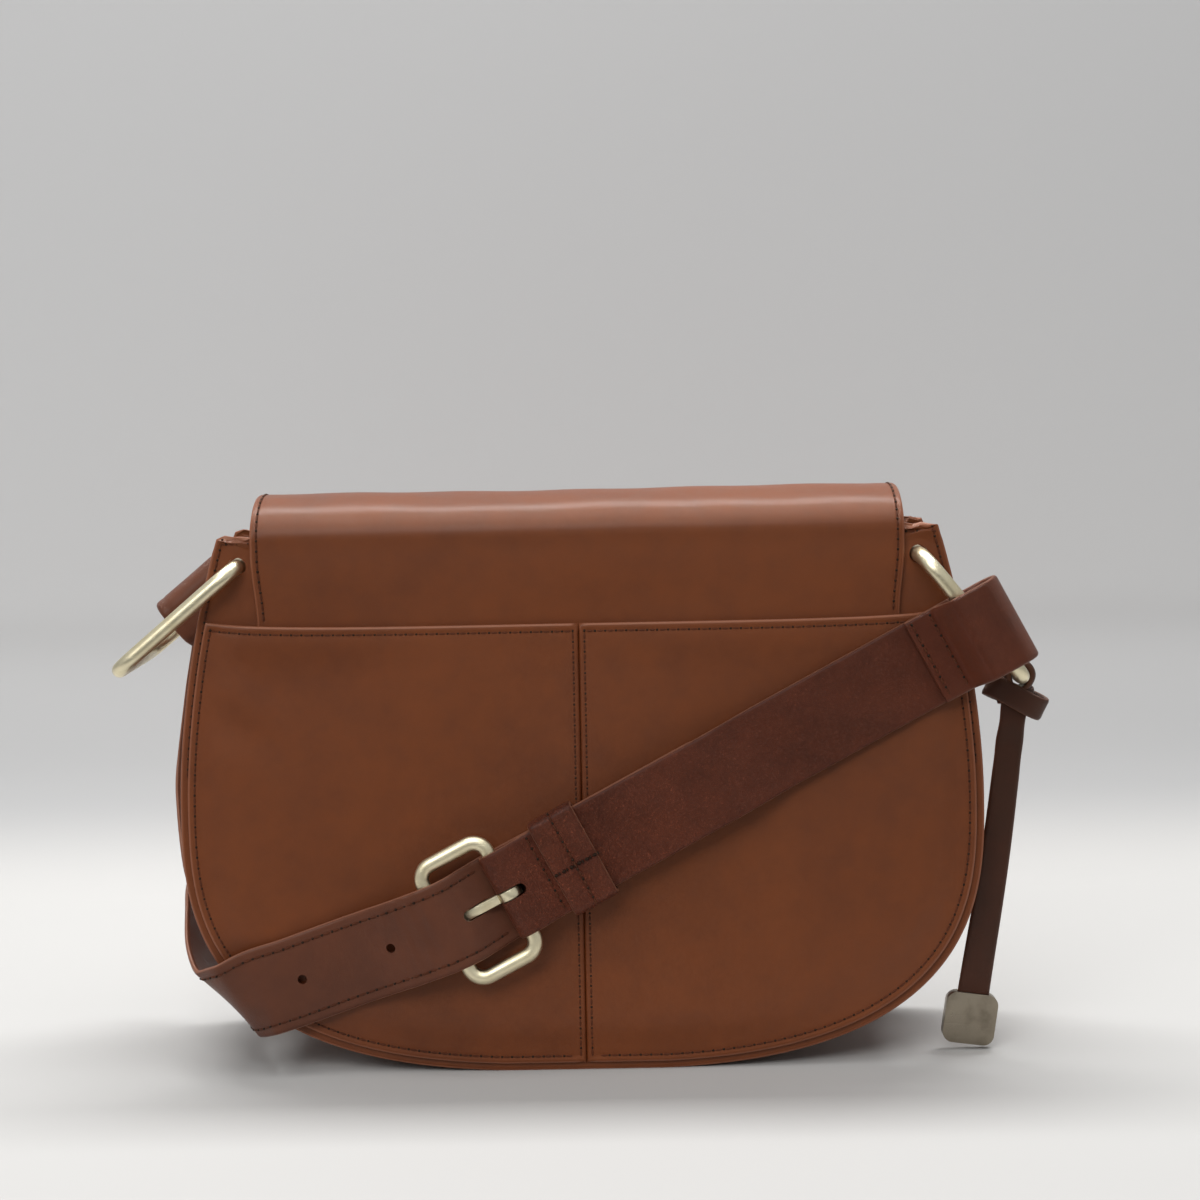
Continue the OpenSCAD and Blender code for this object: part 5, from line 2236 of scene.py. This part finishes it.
@cache
def metal_group() -> bpy.types.NodeTree:
    """Fine scratches, handling haze and slight tarnish of plated metal.

    Returns:
        The group.
    """
    tree, net, given = new_group("Handled Metal", {
        "Tone": GREY, "Tarnish": GREY, "Base Roughness": 0.3, "Scratches": 0.02})
    place = net.place()
    lines = []
    for turn, size in (((0.3, 0.9, 0.2), (60.0, 2600.0, 2600.0)),
                       ((1.1, 0.2, 0.8), (2200.0, 70.0, 2200.0))):
        turned = net.add("ShaderNodeMapping", {"Vector": place, "Rotation": turn,
                                               "Scale": size})
        noise = net.noise(turned.outputs[0], 1.0, 1.0)
        lines.append(net.band(noise.outputs[0], 0.62, 0.72))
    scratch = net.math("MAXIMUM", lines[0], lines[1])
    haze = net.noise(place, 120.0, 4.0).outputs[0]
    tone = net.mix(net.band(haze, 0.45, 0.8, 0.0, 0.7), given["Tone"], given["Tarnish"])
    rough = net.math("MULTIPLY_ADD", net.math("SUBTRACT", haze, 0.5), 0.25,
                     given["Base Roughness"])
    rough = net.math("MULTIPLY_ADD", scratch, 0.12, rough)
    net.put_out(tone, rough, scratch, 0.6, net.math("MULTIPLY", given["Scratches"], -MM))
    return tree


@cache
def weave_group() -> bpy.types.NodeTree:
    """Plain weave of cloth.

    Returns:
        The group.
    """
    tree, net, given = new_group("Plain Weave", {
        "Tone": GREY, "Deep": GREY, "Thread Width": 0.5})
    place = net.place()
    parts = net.add("ShaderNodeSeparateXYZ", {0: place}).outputs
    speed = net.math("DIVIDE", math.pi * 1000, given["Thread Width"])
    x, y, z = (net.math("SINE", net.math("MULTIPLY", parts[axis], speed)) for axis in "XYZ")
    weave = net.math("ADD", net.math("MULTIPLY", x, net.math("ADD", z, y)),
                     net.math("MULTIPLY", z, net.math("ADD", x, y)))
    noise = net.noise(place, 60.0, 4.0).outputs[0]
    mask = net.math("MULTIPLY_ADD", weave, 0.12, noise)
    tone = net.mix(net.band(mask, 0.2, 0.8), given["Deep"], given["Tone"])
    net.put_out(tone, net.band(noise, 0.2, 0.8, 0.8, 0.95), weave, 0.7, 0.00008)
    return tree


def blank_material(name: str) -> tuple[Material, Net]:
    """Makes a material without nodes.

    Args:
        name: Its name.

    Returns:
        The material and its net.
    """
    material = bpy.data.materials.new(name)
    material.use_nodes = True
    material.node_tree.nodes.clear()
    return material, Net(material.node_tree)


def new_material(finish: object, group: bpy.types.NodeTree, shader: dict) -> Material:
    """Makes a material from a group and a Principled shader.

    Args:
        finish: A finish, whose fields are named for the group's inputs.
        group: The surface's node group.
        shader: Plain values of the shader's sockets.

    Returns:
        The material.
    """
    material, net = blank_material(finish.name)
    surface = net.add("ShaderNodeGroup", node_tree=group)
    for socket in surface.inputs:
        socket.default_value = getattr(finish, socket.name.lower().replace(" ", "_"))
    body = net.add("ShaderNodeBsdfPrincipled", {
        "Base Color": surface.outputs["Color"], "Roughness": surface.outputs["Roughness"],
        "Normal": surface.outputs["Normal"], **shader})
    net.add("ShaderNodeOutputMaterial", {"Surface": body.outputs[0]})
    return material


@dataclass(frozen=True)
class LeatherFinish:
    """One leather or thread: colours, grain and gloss."""

    name: str
    tone: Colour
    deep: Colour
    edge: Colour
    grain_size: float
    grain_depth: float
    mottle: float
    base_roughness: float
    # Share of painted shade in the grain's creases.
    crease_shade: float = 0.28
    coat: float = 0.0
    gloss: Colour = (1.0, 0.70, 0.50, 1.0)

    def material(self) -> Material:
        """The leather's material."""
        return new_material(self, leather_group(), {
            "Coat Weight": self.coat, "Coat Roughness": 0.28, "Specular IOR Level": 0.4,
            "Specular Tint": self.gloss})


@dataclass(frozen=True)
class MetalFinish:
    """One plated metal: colours and gloss."""

    name: str
    tone: Colour
    tarnish: Colour
    base_roughness: float
    scratches: float

    def material(self) -> Material:
        """The metal's material."""
        return new_material(self, metal_group(), {"Metallic": 1.0})


@dataclass(frozen=True)
class ClothFinish:
    """One woven cloth."""

    name: str
    tone: Colour
    deep: Colour
    thread_width: float

    def material(self) -> Material:
        """The cloth's material."""
        return new_material(self, weave_group(), {"Sheen Weight": 0.2,
                                                  "Specular IOR Level": 0.2})


# The ninth value of each leather finish sets its painted shade in the grain's creases.
BODY_LEATHER = LeatherFinish("Tan Body Leather", srgb(124, 62, 26), srgb(96, 45, 19),
                             srgb(138, 82, 56), 0.8, 0.03, 0.8, 0.38, 0.28, 0.25)
PEBBLED_STRAP = LeatherFinish("Pebbled Strap Leather", srgb(184, 93, 62), srgb(92, 42, 29),
                              srgb(150, 96, 74), 2.0, 0.75, 0.6, 0.34, 1.0, 0.15)
SMOOTH_STRAP = LeatherFinish("Smooth Strap Leather", srgb(106, 56, 36), srgb(78, 39, 26),
                             srgb(138, 90, 70), 0.7, 0.03, 0.9, 0.34, 0.28, 0.2)
TAG_LEATHER = LeatherFinish("Dark Thong Leather", srgb(74, 34, 20), srgb(46, 20, 12),
                            srgb(92, 55, 40), 0.9, 0.06, 1.0, 0.38, 0.28, 0.2)
FLAP_LINING = LeatherFinish("Flap Lining Skin", srgb(150, 112, 84), srgb(120, 84, 60),
                            srgb(150, 112, 84), 0.6, 0.03, 0.8, 0.65)
# Both threads' edge colour, near-black, is painted shade on the blobs that stand for stitch
# holes.
DARK_THREAD = LeatherFinish("Dark Thread", srgb(34, 17, 12), srgb(22, 11, 8), srgb(14, 7, 5),
                            0.25, 0.05, 0.8, 0.55)
THREAD = LeatherFinish("Waxed Thread", srgb(104, 54, 34), srgb(70, 34, 22), srgb(14, 7, 5),
                       0.25, 0.05, 0.8, 0.50)
PALE_BRASS = MetalFinish("Pale Brass", srgb(228, 218, 186), srgb(206, 193, 156), 0.33, 0.03)
SATIN_NICKEL = MetalFinish("Satin Nickel", srgb(150, 140, 124), srgb(104, 94, 80), 0.32, 0.04)
LINING_CLOTH = ClothFinish("Lining Cloth", srgb(172, 150, 120), srgb(132, 110, 84), 0.5)
BOARD_CLOTH = ClothFinish("Board Cloth", srgb(96, 84, 70), srgb(66, 56, 46), 0.7)


# ---- Studio


def matrix(x: Array, y: Array, z: Array, place: Sequence[float]) -> Matrix:
    """Matrix from three directions and a place in millimetres."""
    rows = np.eye(4)
    rows[:3] = np.stack([x, y, z, np.asarray(place, float) * MM], axis=1)
    return Matrix(rows.tolist())


@dataclass(frozen=True)
class Lamp:
    """One soft rectangular lamp: its place, the point that it looks at, size and power."""

    name: str
    place: tuple[float, float, float]
    aim: tuple[float, float, float]
    width: float
    length: float
    watts: float

    def build(self) -> None:
        """Adds the lamp."""
        light = bpy.data.lights.new(self.name, "AREA")
        light.shape = "RECTANGLE"
        light.size, light.size_y = self.width * MM, self.length * MM
        light.energy = self.watts
        back = unit(np.subtract(self.place, self.aim))
        side = unit(np.cross([0, 1.0, 0.01], back))
        new_object(self.name, light).matrix_world = matrix(side, np.cross(back, side), back,
                                                           self.place)


@dataclass
class Studio:
    """Pale floor with a curved backdrop, soft lights and the photograph's camera."""

    camera_place: tuple[float, float, float] = (12.41, -783.0, 250.6)
    pitch: float = 6.13
    yaw: float = -0.0059
    roll: float = 0.02
    lens: float = 63.66
    far: float = 340.0
    reach: float = 2400.0
    wide: float = 2600.0
    high: float = 720.0
    sweep: float = 120.0
    wall_foot: float = 0.4
    lamps: tuple[Lamp, ...] = (
        Lamp("strip", (0, 340, 1250), (0, -20, 50), 1500, 220, 18.5),
        Lamp("above", (-60, -350, 1300), (0, -120, 0), 1400, 600, 5.5),
        Lamp("fill", (-500, -1250, 1150), (0, 0, 100), 1500, 700, 12.5))
    air: Colour = (0.86, 0.87, 0.88, 1)
    air_light: float = 0.17
    air_seen: float = 0.46

    def sheet(self, name: str, y: Array, z: Array, material: Material) -> None:
        """Adds a wide sheet of the studio, whose front looks up and to the camera.

        Args:
            name: Name of the sheet.
            y: Depths along its profile, in millimetres.
            z: Heights along its profile.
            material: Its material.
        """
        points = [np.stack([np.full(len(y), x), y, z], axis=1) for x in (-self.wide, self.wide)]
        size = len(y)
        faces = [[i, size + i, size + i + 1, i + 1] for i in range(size - 1)]
        mesh = bpy.data.meshes.new(name)
        mesh.from_pydata((np.concatenate(points) * MM).tolist(), [], faces)
        mesh.shade_smooth()
        mesh.materials.append(material)
        piece = new_object(name, mesh)
        piece.visible_shadow = False

    def paper(self) -> Material:
        """Pale paper that is clear from behind and throws little light from the front.

        Returns:
            The material.
        """
        material, net = blank_material("Paper Backdrop")
        parts = net.add("ShaderNodeSeparateXYZ", {0: net.place()}).outputs
        # Painted light and shade by height: the floor, a darker band low on the curve, and a
        # lighter wall above.
        tone = net.mix(net.band(parts["Z"], 0.0, 0.036), srgb(196, 195, 193),
                       srgb(176, 176, 176))
        tone = net.mix(net.band(parts["Z"], 0.045, 0.14), tone, srgb(214, 214, 214))
        seen = net.add("ShaderNodeLightPath").outputs["Is Camera Ray"]
        near = net.math("MAXIMUM", net.band(parts["Y"], -0.60, -0.08), seen)
        tone = net.mix(near, srgb(80, 80, 80), tone)
        body = net.add("ShaderNodeBsdfPrincipled", {"Base Color": tone, "Roughness": 0.9,
                                                    "Specular IOR Level": 0.1})
        clear = net.add("ShaderNodeBsdfTransparent")
        back = net.add("ShaderNodeNewGeometry").outputs["Backfacing"]
        both = net.add("ShaderNodeMixShader", {0: back, 1: body.outputs[0],
                                               2: clear.outputs[0]})
        net.add("ShaderNodeOutputMaterial", {"Surface": both.outputs[0]})
        return material

    def backdrop(self) -> None:
        """The floor, and the wall that curves up from it."""
        material = self.paper()
        self.sheet("floor", np.linspace(-self.reach, self.reach, 25), np.zeros(25), material)
        arc = np.radians(np.linspace(0, 90, 24))
        y = np.r_[self.far - self.sweep + self.sweep * np.sin(arc), self.far]
        z = np.r_[self.wall_foot + self.sweep - self.sweep * np.cos(arc), self.high]
        self.sheet("backdrop", y, z, material)

    def room(self) -> None:
        """A grey world that is brighter where the camera, metal or glass sees it."""
        world = bpy.data.worlds.new("grey room")
        world.use_nodes = True
        sky = world.node_tree.nodes["Background"]
        sky.inputs[0].default_value = self.air
        net = Net(world.node_tree)
        path = net.add("ShaderNodeLightPath").outputs
        seen = net.math("MAXIMUM", path["Is Camera Ray"], net.math(
            "MAXIMUM", path["Is Glossy Ray"], path["Is Transmission Ray"]))
        net.tree.links.new(net.math("MULTIPLY_ADD", seen, self.air_seen, self.air_light),
                           sky.inputs[1])
        bpy.context.scene.world = world

    def camera(self) -> None:
        """The photograph's camera."""
        pitch = math.radians(self.pitch)
        ahead = np.array([math.sin(self.yaw) * math.cos(pitch),
                          math.cos(self.yaw) * math.cos(pitch), -math.sin(pitch)])
        right = np.array([math.cos(self.yaw), -math.sin(self.yaw), 0])
        up = np.cross(right, ahead)
        side = right * math.cos(self.roll) - up * math.sin(self.roll)
        top = right * math.sin(self.roll) + up * math.cos(self.roll)
        data = bpy.data.cameras.new("camera")
        data.sensor_width = 36.0
        data.lens = self.lens
        data.clip_start, data.clip_end = 0.05, 20.0
        camera = new_object("camera", data)
        camera.matrix_world = matrix(side, top, -ahead, self.camera_place)
        bpy.context.scene.camera = camera

    def build(self) -> None:
        """Sets up the whole studio."""
        self.camera()
        self.backdrop()
        for lamp in self.lamps:
            lamp.build()
        self.room()
        bpy.context.scene.view_settings.view_transform = "Standard"


def main() -> None:
    """Builds the studio and every piece in order."""
    logging.basicConfig(level=logging.INFO, format="%(name)s: %(message)s")
    Studio().build()
    body_leather, pebbled, smooth, thong, skin, thread = (finish.material() for finish in (
        BODY_LEATHER, PEBBLED_STRAP, SMOOTH_STRAP, TAG_LEATHER, FLAP_LINING, THREAD))
    brass, nickel, cloth, board = (finish.material() for finish in (
        PALE_BRASS, SATIN_NICKEL, LINING_CLOTH, BOARD_CLOTH))
    panels, pocket, flap = Panels(), BackPocket(), Flap()
    buckle_end, punched, keeper = BuckleEnd(), PunchedEnd(), Keeper()
    panels.build(body_leather)
    Gusset().build(body_leather)
    pocket.build(body_leather)
    Inside().build(body_leather, cloth, board)
    flap.build(body_leather, skin)
    MetalSnap().build(brass, nickel)
    SideRings().build(brass)
    buckle_end.build(pebbled)
    punched.build(smooth)
    Buckle().build(brass)
    keeper.build(pebbled)
    Tag().build(thong, nickel)
    fine, bold = Stitching(), Stitching(2.7, 1.7, 1.15)
    keeper_row, keeper_seam = keeper.stitches()
    for name, lines, sewing, yarn, body, slot in (
            ("bag_stitches", panels.stitches() + pocket.stitches(), fine, thread,
             Body.BAG, Slot.BODY),
            ("strap_stitches", buckle_end.stitches() + punched.stitches(), fine, thread,
             Body.BAG, Slot.STRAP),
            ("keeper_stitches", keeper_row, fine, thread, Body.KEEPER, Slot.STRAP),
            ("keeper_seam_stitches", keeper_seam, bold, DARK_THREAD.material(),
             Body.KEEPER, Slot.STRAP)):
        dress(sewing.rows(name, lines, yarn), body, slot, [yarn])
    piece = fine.rows("flap_stitches", flap.stitches(), thread)
    flap.bend(piece)
    dress(piece, None, Slot.BODY, [thread])
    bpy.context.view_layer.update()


if __name__ == "__main__":
    main()
